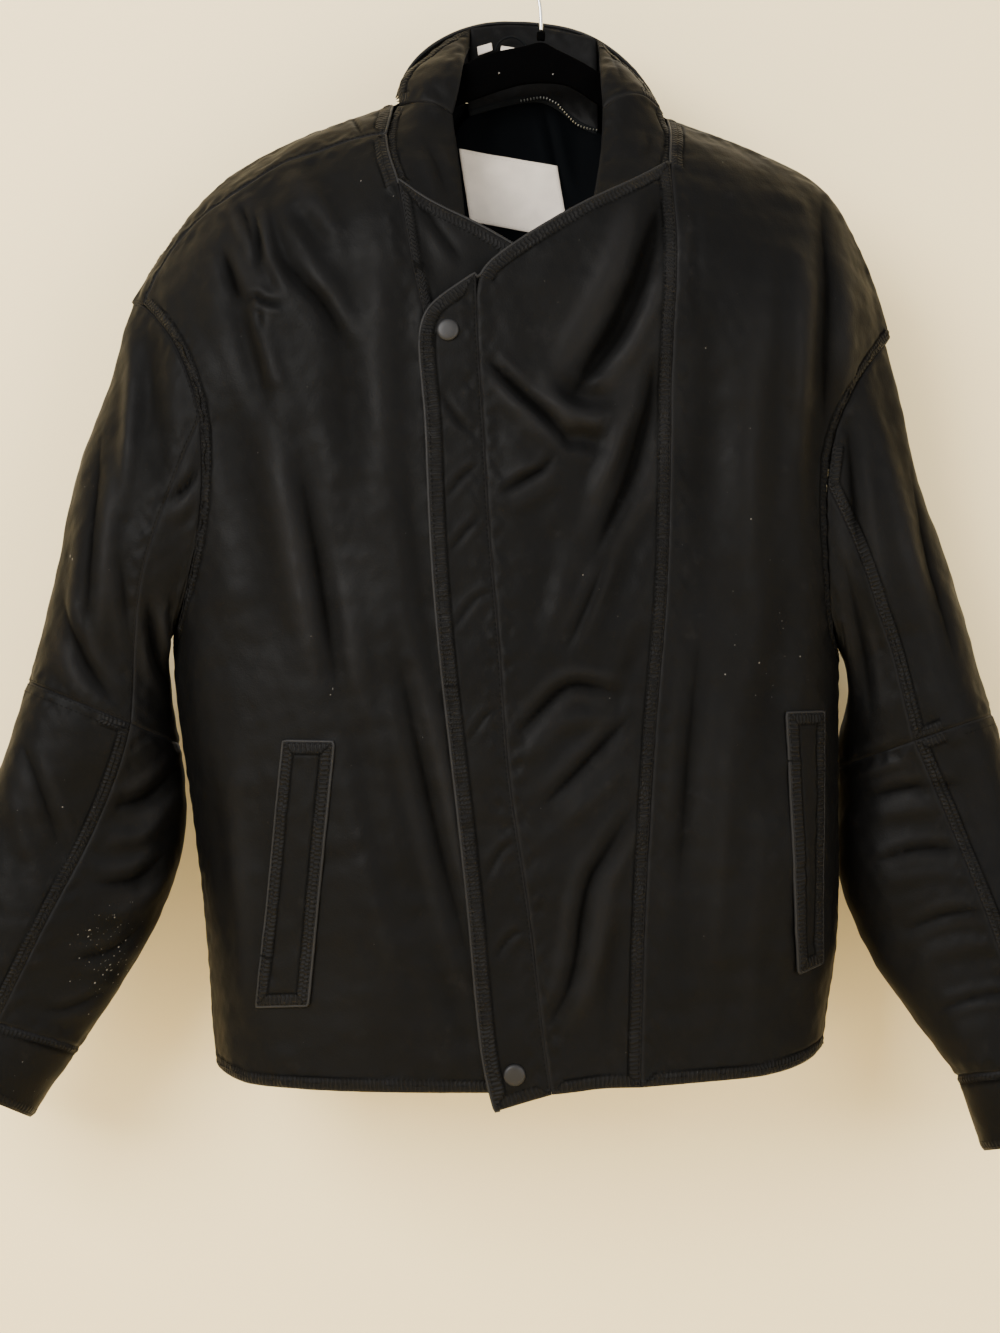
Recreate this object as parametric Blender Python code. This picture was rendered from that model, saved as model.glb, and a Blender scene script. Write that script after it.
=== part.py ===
"""A worn leather jacket that hangs on a slim hanger, built from the pieces that a maker cuts.

The jacket's places are read in its front view, in pixels of a frame 1000 wide and 1333 high
(u to the right, v down), and are set at their real depth by the eye's distance. The origin is
the inside of the hanger's hook, where a rod carries it. +Z is up and +Y is the jacket's back.
"""

import math

import bmesh
import bpy
import numpy as np
from mathutils import Vector
from mathutils.bvhtree import BVHTree

# Front view: how a pixel and a depth become a place
EYE_DISTANCE = 1.6
PIXEL_SIZE = 0.000726
EYE_X = -0.0298
EYE_Z = -0.525
VIEW_CENTRE_U = 500.0
VIEW_CENTRE_V = 666.5

# Cloth
LEATHER_WALL = 0.0016
FACING_WALL = 0.0012
LINING_WALL = 0.0010
SEAM_HALF_GAP = 0.00017
WRAP_LIFT = 0.0042
UNDERLAP_SINK = 0.0040
ON_PANEL_GAP = 0.0007
WELT_WALL = 0.0018
TAPE_WALL = 0.0008

# Body's depth, in metres in front of and behind the side seams, against v
FRONT_DEPTH = ((90, 0.080), (200, 0.085), (440, 0.088), (642, 0.093), (900, 0.090), (1100, 0.084))
BACK_DEPTH = ((90, 0.048), (200, 0.050), (440, 0.056), (642, 0.062), (900, 0.062), (1100, 0.058))
FRONT_FULLNESS = 2.7
BACK_FULLNESS = 3.2
FRONT_SHOULDER_ROLL = 180.0
BACK_SHOULDER_ROLL = 110.0
FOLD_RISE = 1.6
FRONT_FOLD_MARGIN = 0.3
BACK_FOLD_MARGIN = 0.5

# How the left front rises over the underlap, and the underlap sinks, in pixels from their seams
WRAP_START = 6.0
WRAP_REACH = 70.0
UNDERLAP_START = 3.0
UNDERLAP_REACH = 28.0

# Outlines in the front view. LEFT and RIGHT in these names are the view's own sides, and the
# pieces are named by the wearer's side.
LEFT_SIDE = ((131, 302), (150, 460), (172, 642), (173, 664), (176, 702), (184, 753),
             (193, 819), (203, 910), (209, 980), (214, 1048), (217, 1066))
RIGHT_SIDE = ((893, 338), (872, 374), (853, 412), (843, 452), (839, 500), (838, 650),
              (839, 760), (839, 900), (836, 960), (829, 998), (822, 1047))
LEFT_RIDGE = ((131, 302), (137, 290), (151, 270), (169, 241), (188, 219), (208, 194),
              (222, 180), (249, 162), (278, 147), (316, 131), (351, 119), (392, 104))
RIGHT_RIDGE = ((668, 118), (684, 121), (698, 129), (734, 141), (773, 159), (812, 177),
               (829, 189), (838, 205), (858, 244), (877, 285), (891, 338))
STRIP_EDGE = ((143, 304), (155, 276), (169, 251), (190, 227), (210, 207), (241, 191),
              (278, 162), (320, 152), (363, 134), (385, 133))
LEFT_FREE_EDGE_SIDE = ((385, 133), (387, 153), (398, 178))
LEFT_FREE_EDGE = ((398, 178), (431, 202), (462, 215), (488, 228), (512, 243), (534, 256))
UNDER_SEAM = ((398, 178), (406, 223), (412, 264), (420, 304), (434, 345), (442, 450),
              (448, 600), (462, 720), (478, 850), (492, 980), (506, 1093))
UNDERLAP_EDGE = ((534, 256), (536, 420), (540, 640), (546, 860), (552, 1086))
LEFT_ARMHOLE = ((143, 304), (172, 336), (186, 364), (197, 401), (202, 437), (202, 476),
                (200, 518), (192, 560), (180, 615), (172, 642))
LEFT_ARMHOLE_BACK = ((131, 302), (160, 345), (178, 400), (184, 460), (184, 520), (180, 580),
                     (172, 642))
RIGHT_ARMHOLE = ((891, 338), (862, 375), (842, 410), (831, 450), (827, 500), (828, 560),
                 (832, 620), (838, 650))
RIGHT_ARMHOLE_BACK = ((891, 338), (866, 375), (845, 420), (828, 470), (822, 520), (824, 580),
                      (830, 625), (838, 650))
LEFT_HEM = ((217, 1066), (225, 1075), (239, 1083), (260, 1086), (327, 1091), (407, 1093),
            (506, 1093))
UNDERLAP_HEM = ((506, 1093), (552, 1086))
FLAP_EDGE = ((418, 339), (421, 372), (425, 402), (427, 453), (431, 545), (439, 649),
             (454, 781), (468, 910), (480, 1042), (489, 1096), (495, 1112))
FLAP_CORNER = ((418, 339), (419, 327), (422, 311), (431, 302), (445, 292), (465, 280),
               (476, 272))
CENTRE_FREE_EDGE = ((476, 272), (502, 251), (523, 236), (543, 224), (572, 208), (596, 195),
                    (625, 183), (645, 173), (670, 160))
SIDE_FREE_EDGE = ((668, 118), (673, 132), (673, 147), (670, 160))
PLACKET_SEAM = ((476, 272), (477, 321), (484, 433), (490, 535), (500, 649), (507, 756),
                (516, 828), (525, 881), (536, 971), (543, 1035), (552, 1095))
PRINCESS_SEAM = ((670, 160), (678, 244), (675, 312), (672, 358), (671, 464), (667, 598),
                 (655, 739), (650, 828), (645, 917), (643, 989), (641, 1088))
PLACKET_HEM = ((495, 1112), (518, 1105), (552, 1095))
CENTRE_HEM = ((552, 1095), (579, 1092), (600, 1089), (641, 1088))
RIGHT_HEM = ((641, 1088), (720, 1081), (760, 1077), (790, 1070), (812, 1059), (822, 1047))
BACK_HEM = ((217, 1066), (240, 1080), (330, 1087), (530, 1090), (720, 1079), (800, 1066),
            (822, 1047))
NECK_SEAM = ((392, 104), (415, 104), (450, 104), (500, 102), (540, 101), (590, 102),
             (625, 106), (650, 112), (668, 118))
NECK_RIDGE = ((392, 104), (425, 88), (462, 58), (500, 42), (560, 42), (600, 56), (640, 94),
              (668, 118))

# Collar and what shows inside the neck: u, v and the depth in metres
COLLAR_EDGE = ((392, 104, 0.000), (391, 87, 0.003), (406, 65, 0.012), (425, 53, 0.022),
               (441, 37, 0.032), (462, 26, 0.042), (500, 22, 0.050), (537, 24, 0.052),
               (576, 30, 0.050), (597, 34, 0.046), (610, 45, 0.038), (643, 77, 0.016),
               (657, 94, 0.006), (668, 118, 0.000))
RIGHT_FACING_EDGE = ((470, 28, 0.0393), (444, 40, 0.0275), (428, 56, 0.0175), (409, 67, 0.0070),
                     (395, 88, -0.0030), (398, 106, -0.0060))
RIGHT_FACING_INNER = ((470, 48, 0.024), (467, 54, 0.010), (465, 58, -0.003), (463, 66, -0.012),
                      (461, 78, -0.018), (458, 95, -0.023), (453, 114, -0.025))
RIGHT_FACING_TOP = ((470, 28, 0.0393), (470, 48, 0.024))
RIGHT_CROSS_SEAM = ((398, 106, -0.0060), (409, 102, -0.0180), (423, 100, -0.0270),
                    (439, 103, -0.0280), (453, 114, -0.0250))
RIGHT_FRONT_FACING_EDGE = ((398, 106, -0.0060), (390, 116, -0.0130), (384, 134, -0.0340),
                           (384, 155, -0.0490), (395, 184, -0.0635))
RIGHT_FRONT_FACING_INNER = ((453, 114, -0.0250), (457, 142, -0.0340), (462, 183, -0.0520),
                            (467, 232, -0.0715))
RIGHT_FRONT_FACING_FOOT = ((395, 184, -0.0635), (428, 208, -0.0690), (450, 220, -0.0705),
                           (467, 232, -0.0715))
LEFT_FACING_EDGE = ((597, 38, 0.0375), (608, 49, 0.0310), (640, 79, 0.0110), (654, 95, 0.0015),
                    (662, 110, -0.0050))
LEFT_FACING_INNER = ((598, 54, 0.024), (599, 66, 0.000), (600, 80, -0.016), (602, 108, -0.025))
LEFT_FACING_TOP = ((597, 38, 0.0375), (598, 54, 0.024))
LEFT_CROSS_SEAM = ((602, 108, -0.0250), (611, 99, -0.0290), (625, 92, -0.0280), (645, 93, -0.0190),
                   (662, 110, -0.0050))
LEFT_FRONT_FACING_EDGE = ((662, 110, -0.0050), (665, 121, -0.0090), (674, 134, -0.0180),
                          (678, 147, -0.0300), (676, 159, -0.0410), (672, 171, -0.0510))
LEFT_FRONT_FACING_INNER = ((602, 108, -0.0250), (601, 142, -0.0360), (597, 175, -0.0540),
                           (590, 215, -0.0740))
LEFT_FRONT_FACING_FOOT = ((590, 215, -0.0740), (612, 200, -0.0685), (640, 186, -0.0610),
                          (672, 171, -0.0520))
COLLAR_ROWS = 3
COLLAR_END_SHARE = 0.15
BACK_FACING_ROWS = 5
FACING_ROWS = 6
FACING_COLUMNS = 4
LINING_ROWS = 6
LINING_COLUMNS = 8
BACK_FACING_TOP = ((470.9, 28, 0.0393), (505, 24, 0.0452), (537, 26, 0.0470), (596, 38, 0.0375))
BACK_FACING_FOOT = ((468, 113, 0.030), (500, 104, 0.034), (543, 98, 0.035), (564, 111, 0.034),
                    (576, 123, 0.032), (598, 131, 0.028))
LINING_TOP = ((468, 114.2, 0.030), (500, 105.2, 0.034), (543, 99.2, 0.035), (564, 112.2, 0.034),
              (576, 124.2, 0.032), (598, 132.2, 0.028))
LINING_FOOT = ((444, 262, -0.006), (500, 268, 0.004), (540, 272, 0.006), (585, 262, 0.000),
               (624, 246, -0.014))
LINING_RIGHT = ((468, 114.2, 0.030), (452, 136, 0.024), (444, 262, -0.006))
LINING_LEFT = ((598, 132.2, 0.028), (615, 152, 0.020), (624, 246, -0.014))
ZIP_LINE = ((469, 113.5, 0.0280), (500, 104.6, 0.0317), (543, 98.6, 0.0325), (564, 111.6, 0.0312),
            (576, 123.6, 0.0291), (597, 131.6, 0.0254))
ZIP_TAPE_HEIGHT = 6.0
LABEL_CORNERS = ((459, 150), (557, 167), (570, 240), (470, 222))
LABEL_COLUMNS = 5
LABEL_ROWS = 4
TAB_COLUMNS = 2
HANG_LOOP = ((495, 52, 0.0390), (497, 44, 0.0376), (504, 38, 0.0366), (513, 36, 0.0366),
             (521, 40, 0.0371), (528, 47, 0.0382), (530, 55, 0.0396))
HANG_LOOP_RADIUS = 0.0011
HANG_LOOP_SIDES = 6
TAB_PLACES = (((477, 48), (491, 44), (492, 51), (478, 56)),
              ((501, 47), (514, 49), (514, 56), (500, 55)))

# Sleeves: outer edge u, v, inner edge u, v, depths of both edges, half depth of the section,
# and where the front and back seams run, as shares of a half turn from the outer edge
VIEW_LEFT_SLEEVE = (
    (131, 302, 172, 642, 0.000, 0.000, 0.050, 0.50, 0.50),
    (113, 368, 168, 650, 0.000, 0.002, 0.052, 0.51, 0.50),
    (92, 425, 167, 660, -0.002, 0.008, 0.054, 0.53, 0.50),
    (75, 478, 169, 674, -0.003, 0.015, 0.054, 0.55, 0.50),
    (60, 545, 173, 696, -0.004, 0.022, 0.053, 0.58, 0.50),
    (45, 618, 176, 718, -0.004, 0.026, 0.051, 0.60, 0.50),
    (27, 681, 181, 744, -0.004, 0.028, 0.049, 0.60, 0.50),
    (5, 748, 188, 792, -0.004, 0.028, 0.047, 0.56, 0.50),
    (-21, 824, 184, 852, -0.004, 0.028, 0.045, 0.52, 0.50),
    (-43, 894, 164, 912, -0.004, 0.022, 0.042, 0.49, 0.50),
    (-62, 955, 128, 976, -0.004, 0.014, 0.039, 0.48, 0.50),
    (-76, 1001, 82, 1048, -0.004, 0.006, 0.036, 0.48, 0.50),
)
VIEW_RIGHT_SLEEVE = (
    (891, 338, 838, 650, 0.000, 0.000, 0.050, 0.50, 0.50),
    (903, 396, 846, 662, 0.006, 0.006, 0.050, 0.51, 0.50),
    (911, 440, 849, 677, 0.008, 0.014, 0.050, 0.52, 0.50),
    (926, 500, 849, 694, 0.009, 0.024, 0.050, 0.53, 0.50),
    (949, 567, 845, 714, 0.010, 0.032, 0.049, 0.52, 0.50),
    (971, 637, 838, 736, 0.010, 0.038, 0.047, 0.51, 0.50),
    (993, 714, 836, 768, 0.010, 0.040, 0.045, 0.50, 0.50),
    (1015, 792, 834, 822, 0.010, 0.040, 0.043, 0.45, 0.50),
    (1037, 862, 838, 886, 0.008, 0.036, 0.042, 0.41, 0.50),
    (1058, 930, 861, 942, 0.004, 0.028, 0.040, 0.40, 0.50),
    (1079, 994, 906, 1012, 0.000, 0.016, 0.038, 0.42, 0.50),
    (1102, 1061, 955, 1076, 0.000, 0.006, 0.036, 0.45, 0.50),
)
VIEW_LEFT_CUFF = (
    (-76, 1001, 82, 1048, -0.004, 0.006, 0.036, 0.50, 0.50),
    (-86, 1030, 59, 1078, -0.004, 0.004, 0.036, 0.50, 0.50),
    (-97, 1063, 32, 1118, -0.004, 0.002, 0.035, 0.50, 0.50),
)
VIEW_RIGHT_CUFF = (
    (1102, 1061, 955, 1076, 0.000, 0.006, 0.036, 0.50, 0.50),
    (1111, 1098, 967, 1108, 0.000, 0.004, 0.036, 0.50, 0.50),
    (1121, 1136, 982, 1151, 0.000, 0.002, 0.035, 0.50, 0.50),
)
SLEEVE_FULLNESS = 2.25
ARMHOLE_REACH = 5.0
ELBOW_STATION = 6

# How finely the pieces are divided
ARM_ROWS = 10
SIDE_ROWS = 12
STRIP_ROWS = 2
SHOULDER_COLUMNS = 9
NECK_COLUMNS = 8
PLACKET_COLUMNS = 3
CENTRE_COLUMNS = 7
UNDERLAP_COLUMNS = 4
UPPER_RINGS = 8
FOREARM_RINGS = 8
CUFF_RINGS = 2
SEAM_COLUMN = 5
CURVE_SAMPLES = 240
BOW_FADE = 2.0
HOLLOW_START = 0.15
HOLLOW_RANGE = 0.3
AGREE_START = 0.5

# Large folds on the front: points, half width in pixels and height in metres (down is negative)
FRONT_FOLDS = (
    (((268, 300), (285, 450), (300, 640)), 26, 0.0050),
    (((232, 300), (246, 450), (262, 640)), 22, -0.0045),
    (((330, 330), (340, 520), (352, 720)), 26, -0.0040),
    (((362, 300), (376, 520), (398, 740)), 24, 0.0045),
    (((394, 560), (420, 720), (448, 900)), 20, -0.0040),
    (((228, 700), (236, 860), (244, 1010)), 22, 0.0040),
    (((350, 800), (372, 930), (392, 1060)), 26, 0.0040),
    (((648, 215), (620, 300), (575, 390)), 22, -0.0045),
    (((655, 300), (620, 380), (560, 440)), 20, 0.0040),
    (((650, 390), (625, 450), (586, 520)), 20, -0.0045),
    (((500, 380), (540, 430), (580, 460)), 20, 0.0030),
    (((520, 725), (570, 690), (625, 690)), 20, -0.0035),
    (((628, 740), (590, 880), (556, 1030)), 24, 0.0040),
    (((760, 240), (752, 420), (748, 640)), 30, 0.0055),
    (((708, 300), (702, 480), (700, 700)), 26, -0.0045),
    (((800, 240), (806, 420), (808, 640)), 20, 0.0040),
    (((720, 740), (716, 880), (712, 1020)), 28, 0.0045),
)
BACK_FOLDS = (
    (((300, 220), (330, 420), (350, 700)), 34, 0.0045),
    (((420, 180), (430, 480), (440, 860)), 36, -0.0040),
    (((560, 200), (560, 480), (566, 820)), 36, 0.0045),
    (((700, 230), (680, 460), (670, 760)), 34, -0.0045),
    (((260, 640), (280, 820), (300, 1020)), 30, -0.0040),
    (((770, 640), (760, 820), (748, 1020)), 30, 0.0040),
)
SLEEVE_FOLD_HEIGHT = 0.00245
SLEEVE_FOLD_TURN = 1.35
SLEEVE_FOLD_START = 2.0
SLEEVE_FOLD_STOP = 19.0
SLEEVE_FOLD_FADE = (3.0, 2.0)

# Pockets and snaps
VIEW_LEFT_WELT = ((284, 741), (334, 742), (308, 1005), (258, 1006))
VIEW_RIGHT_WELT = ((786, 713), (822, 712), (821, 962), (798, 973))
WELT_COLUMNS = 5
WELT_ROWS = 16
COLLAR_SNAP = (448, 330)
HEM_SNAP = (514.5, 1075)
SNAP_GAP = 0.0004
SNAP_RADIUS = 0.0075
SNAP_HEIGHT = 0.0026
SNAP_SIDES = 16
SNAP_PROFILE = ((1.0, 0.0), (1.0, 0.30), (0.93, 0.62), (0.72, 0.82), (0.66, 0.76), (0.40, 0.95))

# Hanger
HANGER_HALF_THICKNESS = 0.0030
HANGER_SEAT = 0.0012
HANGER_ARM_HEIGHT = 0.024
HANGER_ENDS_LEFT_OUT = 3
HANGER_END_RISE = (0.45, 0.15, 0.0)
HANGER_EDGE_SHARE = 0.12
HANGER_SECTION = ((0.0, -0.6), (HANGER_EDGE_SHARE, -1.0), (1.0 - HANGER_EDGE_SHARE, -1.0),
                  (1.0, -0.3), (1.0, 0.3), (1.0 - HANGER_EDGE_SHARE, 1.0),
                  (HANGER_EDGE_SHARE, 1.0), (0.0, 0.6))
HANGER_HUB_TOP = ((452, 72), (472, 59), (494, 51), (527, 46), (536, 42), (546, 42), (555, 49),
                  (574, 57), (594, 69), (612, 80))
HANGER_HUB_FOOT = ((452, 108), (472, 101), (494, 93), (519, 85), (536, 83.5), (546, 83.5),
                   (560, 84), (574, 88), (594, 103), (612, 113))
FERRULE_RADIUS = 0.0032
FERRULE_FOOT = -0.0708
FERRULE_TOP = -0.0640
FERRULE_SIDES = 14
HOOK_WIRE_RADIUS = 0.0015
HOOK_RADIUS = 0.0180
HOOK_START_ANGLE = 190.0
HOOK_END_ANGLE = -45.0
HOOK_STEM_FOOT = -0.0637
HOOK_BEND = -0.0520
HOOK_BEND_END = -0.0440
HOOK_BEND_STEPS = 6
HOOK_TURNS = 16
HOOK_SIDES = 8

# Finishes: colour, roughness and metallic value
FINISHES = {
    "leather": ((0.017, 0.016, 0.015), 0.55, 0.0),
    "facing": ((0.020, 0.019, 0.018), 0.60, 0.0),
    "lining": ((0.012, 0.016, 0.019), 0.45, 0.0),
    "satin": ((0.62, 0.58, 0.52), 0.40, 0.0),
    "flock": ((0.004, 0.004, 0.004), 0.95, 0.0),
    "steel": ((0.62, 0.62, 0.62), 0.25, 1.0),
    "gunmetal": ((0.035, 0.035, 0.036), 0.35, 0.9),
    "tape": ((0.010, 0.012, 0.014), 0.80, 0.0),
}


def smooth_curve(points, samples=CURVE_SAMPLES):
    """Places along a smooth curve that passes through the points."""
    knots = np.asarray(points, dtype=float)
    chord = np.linalg.norm(np.diff(knots[:, :2], axis=0), axis=1)
    at = np.concatenate(([0.0], np.cumsum(chord)))
    slopes = np.empty_like(knots)
    slopes[0] = (knots[1] - knots[0]) / (at[1] - at[0])
    slopes[-1] = (knots[-1] - knots[-2]) / (at[-1] - at[-2])
    if len(knots) > 2:
        slopes[1:-1] = (knots[2:] - knots[:-2]) / (at[2:] - at[:-2])[:, None]
    here = np.linspace(0.0, at[-1], samples)
    span = np.clip(np.searchsorted(at, here, side="right") - 1, 0, len(knots) - 2)
    width = (at[span + 1] - at[span])[:, None]
    x = (here - at[span])[:, None] / width
    return (knots[span] * (2 * x**3 - 3 * x**2 + 1) + slopes[span] * width * (x**3 - 2 * x**2 + x)
            + knots[span + 1] * (3 * x**2 - 2 * x**3) + slopes[span + 1] * width * (x**3 - x**2))


def smooth_step(x):
    """Rises softly from 0 to 1."""
    x = np.clip(x, 0.0, 1.0)
    return x * x * (3.0 - 2.0 * x)


def place(grid):
    """Turns u, v and depth into a place in metres."""
    scale = PIXEL_SIZE * (1.0 + grid[..., 2] / EYE_DISTANCE)
    return np.stack((EYE_X + (grid[..., 0] - VIEW_CENTRE_U) * scale, grid[..., 2],
                     EYE_Z - (grid[..., 1] - VIEW_CENTRE_V) * scale), axis=-1)


def across(outline, v):
    """The outline's u at each height v."""
    curve = smooth_curve(outline)
    order = np.argsort(curve[:, 1])
    return np.interp(v, curve[order, 1], curve[order, 0])


def ridge_height(u, neck):
    """The v of the shoulder ridge over each u, with the neck's own line between."""
    curve = np.concatenate([smooth_curve(line) for line in (LEFT_RIDGE, neck, RIGHT_RIDGE)])
    order = np.argsort(curve[:, 0])
    return np.interp(u, curve[order, 0], curve[order, 1])


def fold_height(folds, u, v):
    """Adds up the soft ridges and troughs at u, v."""
    total = np.zeros(np.broadcast(u, v).shape)
    for points, half_width, height in folds:
        line = smooth_curve(points, 40)
        apart = np.hypot(np.asarray(u)[..., None] - line[:, 0],
                         np.asarray(v)[..., None] - line[:, 1])
        nearest = np.argmin(apart, axis=-1)
        share = nearest / (len(line) - 1.0)
        fade = np.sqrt(np.sin(math.pi * np.clip(share, 0.03, 0.97)))
        total += height * fade * np.exp(-(np.min(apart, axis=-1) / half_width) ** 2)
    return total


def section(u, v, fullness):
    """How far the body stands out at u, v, from 0 at the sides to 1."""
    left = across(LEFT_SIDE, v)
    right = across(RIGHT_SIDE, v)
    reach = np.clip(np.abs((u - (left + right) / 2.0) / ((right - left) / 2.0)), 0.0, 1.0)
    return (1.0 - reach**fullness) ** (1.0 / fullness)


def roll(distance, length):
    """The rounded fall of cloth from a ridge."""
    share = np.clip(distance / length, 0.0, 1.0)
    return np.sqrt(1.0 - (1.0 - share) ** 2)


def front_depth(u, v):
    """Depth of the body's front."""
    u = np.asarray(u, dtype=float)
    v = np.asarray(v, dtype=float)
    full = np.interp(v, *np.transpose(FRONT_DEPTH))
    neck = (LEFT_RIDGE[-1], RIGHT_RIDGE[0])
    stand = section(u, v, FRONT_FULLNESS) * roll(v - ridge_height(u, neck), FRONT_SHOULDER_ROLL)
    folds = fold_height(FRONT_FOLDS, u, v) * smooth_step(stand * FOLD_RISE - FRONT_FOLD_MARGIN)
    return -(full * stand + folds)


def back_depth(u, v):
    """Depth of the body's back."""
    u = np.asarray(u, dtype=float)
    v = np.asarray(v, dtype=float)
    full = np.interp(v, *np.transpose(BACK_DEPTH))
    stand = section(u, v, BACK_FULLNESS) * roll(v - ridge_height(u, NECK_RIDGE), BACK_SHOULDER_ROLL)
    folds = fold_height(BACK_FOLDS, u, v) * smooth_step(stand * FOLD_RISE - BACK_FOLD_MARGIN)
    return full * stand + folds


def wrap_depth(u, v):
    """Depth of the left front, which rises over the underlap towards its free edge."""
    cover = smooth_step((across(PRINCESS_SEAM, v) - u - WRAP_START) / WRAP_REACH)
    return front_depth(u, v) - WRAP_LIFT * cover


def underlap_depth(u, v):
    """Depth of the underlap, which sinks behind the wrap."""
    inside = smooth_step((u - across(UNDER_SEAM, v) - UNDERLAP_START) / UNDERLAP_REACH)
    return front_depth(u, v) + UNDERLAP_SINK * inside


def side_depth(u, v):
    """Side seams and shoulder ridges lie in the hanger's plane."""
    return np.zeros(np.broadcast(u, v).shape)


def edge(points, steps, depth=None):
    """A piece's edge as equal steps along its real length, each u, v and depth."""
    curve = smooth_curve(points)
    if depth is not None:
        curve = np.column_stack((curve, depth(curve[:, 0], curve[:, 1])))
    solid = place(curve)
    length = np.concatenate(([0.0], np.cumsum(np.linalg.norm(np.diff(solid, axis=0), axis=1))))
    wanted = np.linspace(0.0, length[-1], steps + 1)
    return np.column_stack([np.interp(wanted, length, curve[:, axis]) for axis in range(3)])


def joined(*edges):
    """Edges end to end."""
    return np.concatenate([edges[0]] + [one[1:] for one in edges[1:]])


def pinned(curve, start=None, end=None):
    """The same edge with its ends set on its neighbours' corners."""
    curve = curve.copy()
    if start is not None:
        curve[0] = start
    if end is not None:
        curve[-1] = end
    return curve


def chord_share(line):
    """How far each point of a line has come along its chord."""
    chord = line[-1, :2] - line[0, :2]
    return ((line[:, :2] - line[0, :2]) @ chord) / (chord @ chord)


def fill(top, bottom, left, right, depth=None, fade=BOW_FADE):
    """Fills four edges with a grid, and sets the inside at its own depth."""
    down = np.linspace(0.0, 1.0, len(left))[:, None, None]
    top_share = chord_share(top)[None, :, None]
    bottom_share = chord_share(bottom)[None, :, None]
    over = (1.0 - down) * top_share + down * bottom_share
    top_bow = top[None] - (1.0 - top_share) * top[0] - top_share * top[-1]
    bottom_bow = bottom[None] - (1.0 - bottom_share) * bottom[0] - bottom_share * bottom[-1]
    grid = ((1.0 - over) * left[:, None] + over * right[:, None]
            + (1.0 - down) ** fade * top_bow + down**fade * bottom_bow)
    if depth is not None:
        grid[1:-1, 1:-1, 2] = depth(grid[1:-1, 1:-1, 0], grid[1:-1, 1:-1, 1])
    return grid


class Panel:
    """A grid of outer points that becomes one cloth piece."""

    def __init__(self, name, grid, finish="leather", wall=LEATHER_WALL, turned=False, closed=False):
        self.name = name
        self.points = place(grid)
        self.finish = finish
        self.wall = wall
        self.turned = turned
        self.closed = closed

    def normals(self):
        """Outward direction at each point, before neighbours are joined in."""
        points = self.points
        if self.closed:
            points = np.concatenate((points, points[:, :1]), axis=1)
        diagonal = points[1:, 1:] - points[:-1, :-1]
        other = points[1:, :-1] - points[:-1, 1:]
        faces = np.cross(other, diagonal)
        if self.turned:
            faces = -faces
        total = np.zeros_like(points)
        for row, column in ((0, 0), (0, 1), (1, 0), (1, 1)):
            total[row:len(faces) + row, column:faces.shape[1] + column] += faces
        if self.closed:
            total[:, 0] += total[:, -1]
            total = total[:, :-1]
        return total


def seam_key(point):
    """Names a place so that neighbours' shared points can be matched."""
    return tuple(np.round(point * 1e6).astype(int))


def shared_normals(panels):
    """Adds up the directions of all panels that meet at each place."""
    total = {}
    for panel in panels:
        own = unit(panel.normals())
        for point, normal in zip(panel.points.reshape(-1, 3), own.reshape(-1, 3)):
            key = seam_key(point)
            total[key] = total.get(key, 0.0) + normal
    return total


def unit(vectors):
    """Vectors of length one."""
    return vectors / np.maximum(np.linalg.norm(vectors, axis=-1, keepdims=True), 1e-12)


def drawn_in(panel, amount=SEAM_HALF_GAP):
    """How far each point moves into its own piece, so that seams keep their gap."""
    points = panel.points
    move = np.zeros_like(points)
    move[0] += unit(points[1] - points[0]) * amount
    move[-1] += unit(points[-2] - points[-1]) * amount
    if not panel.closed:
        move[:, 0] += unit(points[:, 1] - points[:, 0]) * amount
        move[:, -1] += unit(points[:, -2] - points[:, -1]) * amount
    return move


def make_material(name, finish):
    """A piece's own material."""
    colour, roughness, metallic = FINISHES[finish]
    material = bpy.data.materials.new(name)
    material.use_nodes = True
    shader = material.node_tree.nodes["Principled BSDF"]
    shader.inputs["Base Color"].default_value = (*colour, 1.0)
    shader.inputs["Roughness"].default_value = roughness
    shader.inputs["Metallic"].default_value = metallic
    return material


def add_object(name, shape, finish, root):
    """Puts a finished shape in the scene under the hanger's empty."""
    bmesh.ops.recalc_face_normals(shape, faces=shape.faces)
    mesh = bpy.data.meshes.new(name)
    shape.to_mesh(mesh)
    shape.free()
    mesh.shade_smooth()
    mesh.set_sharp_from_angle(angle=math.radians(50.0))
    mesh.materials.append(make_material(name, finish))
    item = bpy.data.objects.new(name, mesh)
    bpy.context.scene.collection.objects.link(item)
    item.parent = root
    return item


def wall_shape(outer, inner, closed):
    """A closed wall between two grids of points."""
    shape = bmesh.new()
    rows, columns = outer.shape[:2]
    skins = [[[shape.verts.new(point) for point in row] for row in skin] for skin in (outer, inner)]
    last = columns if closed else columns - 1
    for row in range(rows - 1):
        for column in range(last):
            beside = (column + 1) % columns
            for skin in skins:
                shape.faces.new((skin[row][column], skin[row][beside],
                                 skin[row + 1][beside], skin[row + 1][column]))
    for row in (0, rows - 1):
        for column in range(last):
            beside = (column + 1) % columns
            shape.faces.new((skins[0][row][column], skins[0][row][beside],
                             skins[1][row][beside], skins[1][row][column]))
    if not closed:
        for column in (0, columns - 1):
            for row in range(rows - 1):
                shape.faces.new((skins[0][row][column], skins[0][row + 1][column],
                                 skins[1][row + 1][column], skins[1][row][column]))
    return shape


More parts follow.
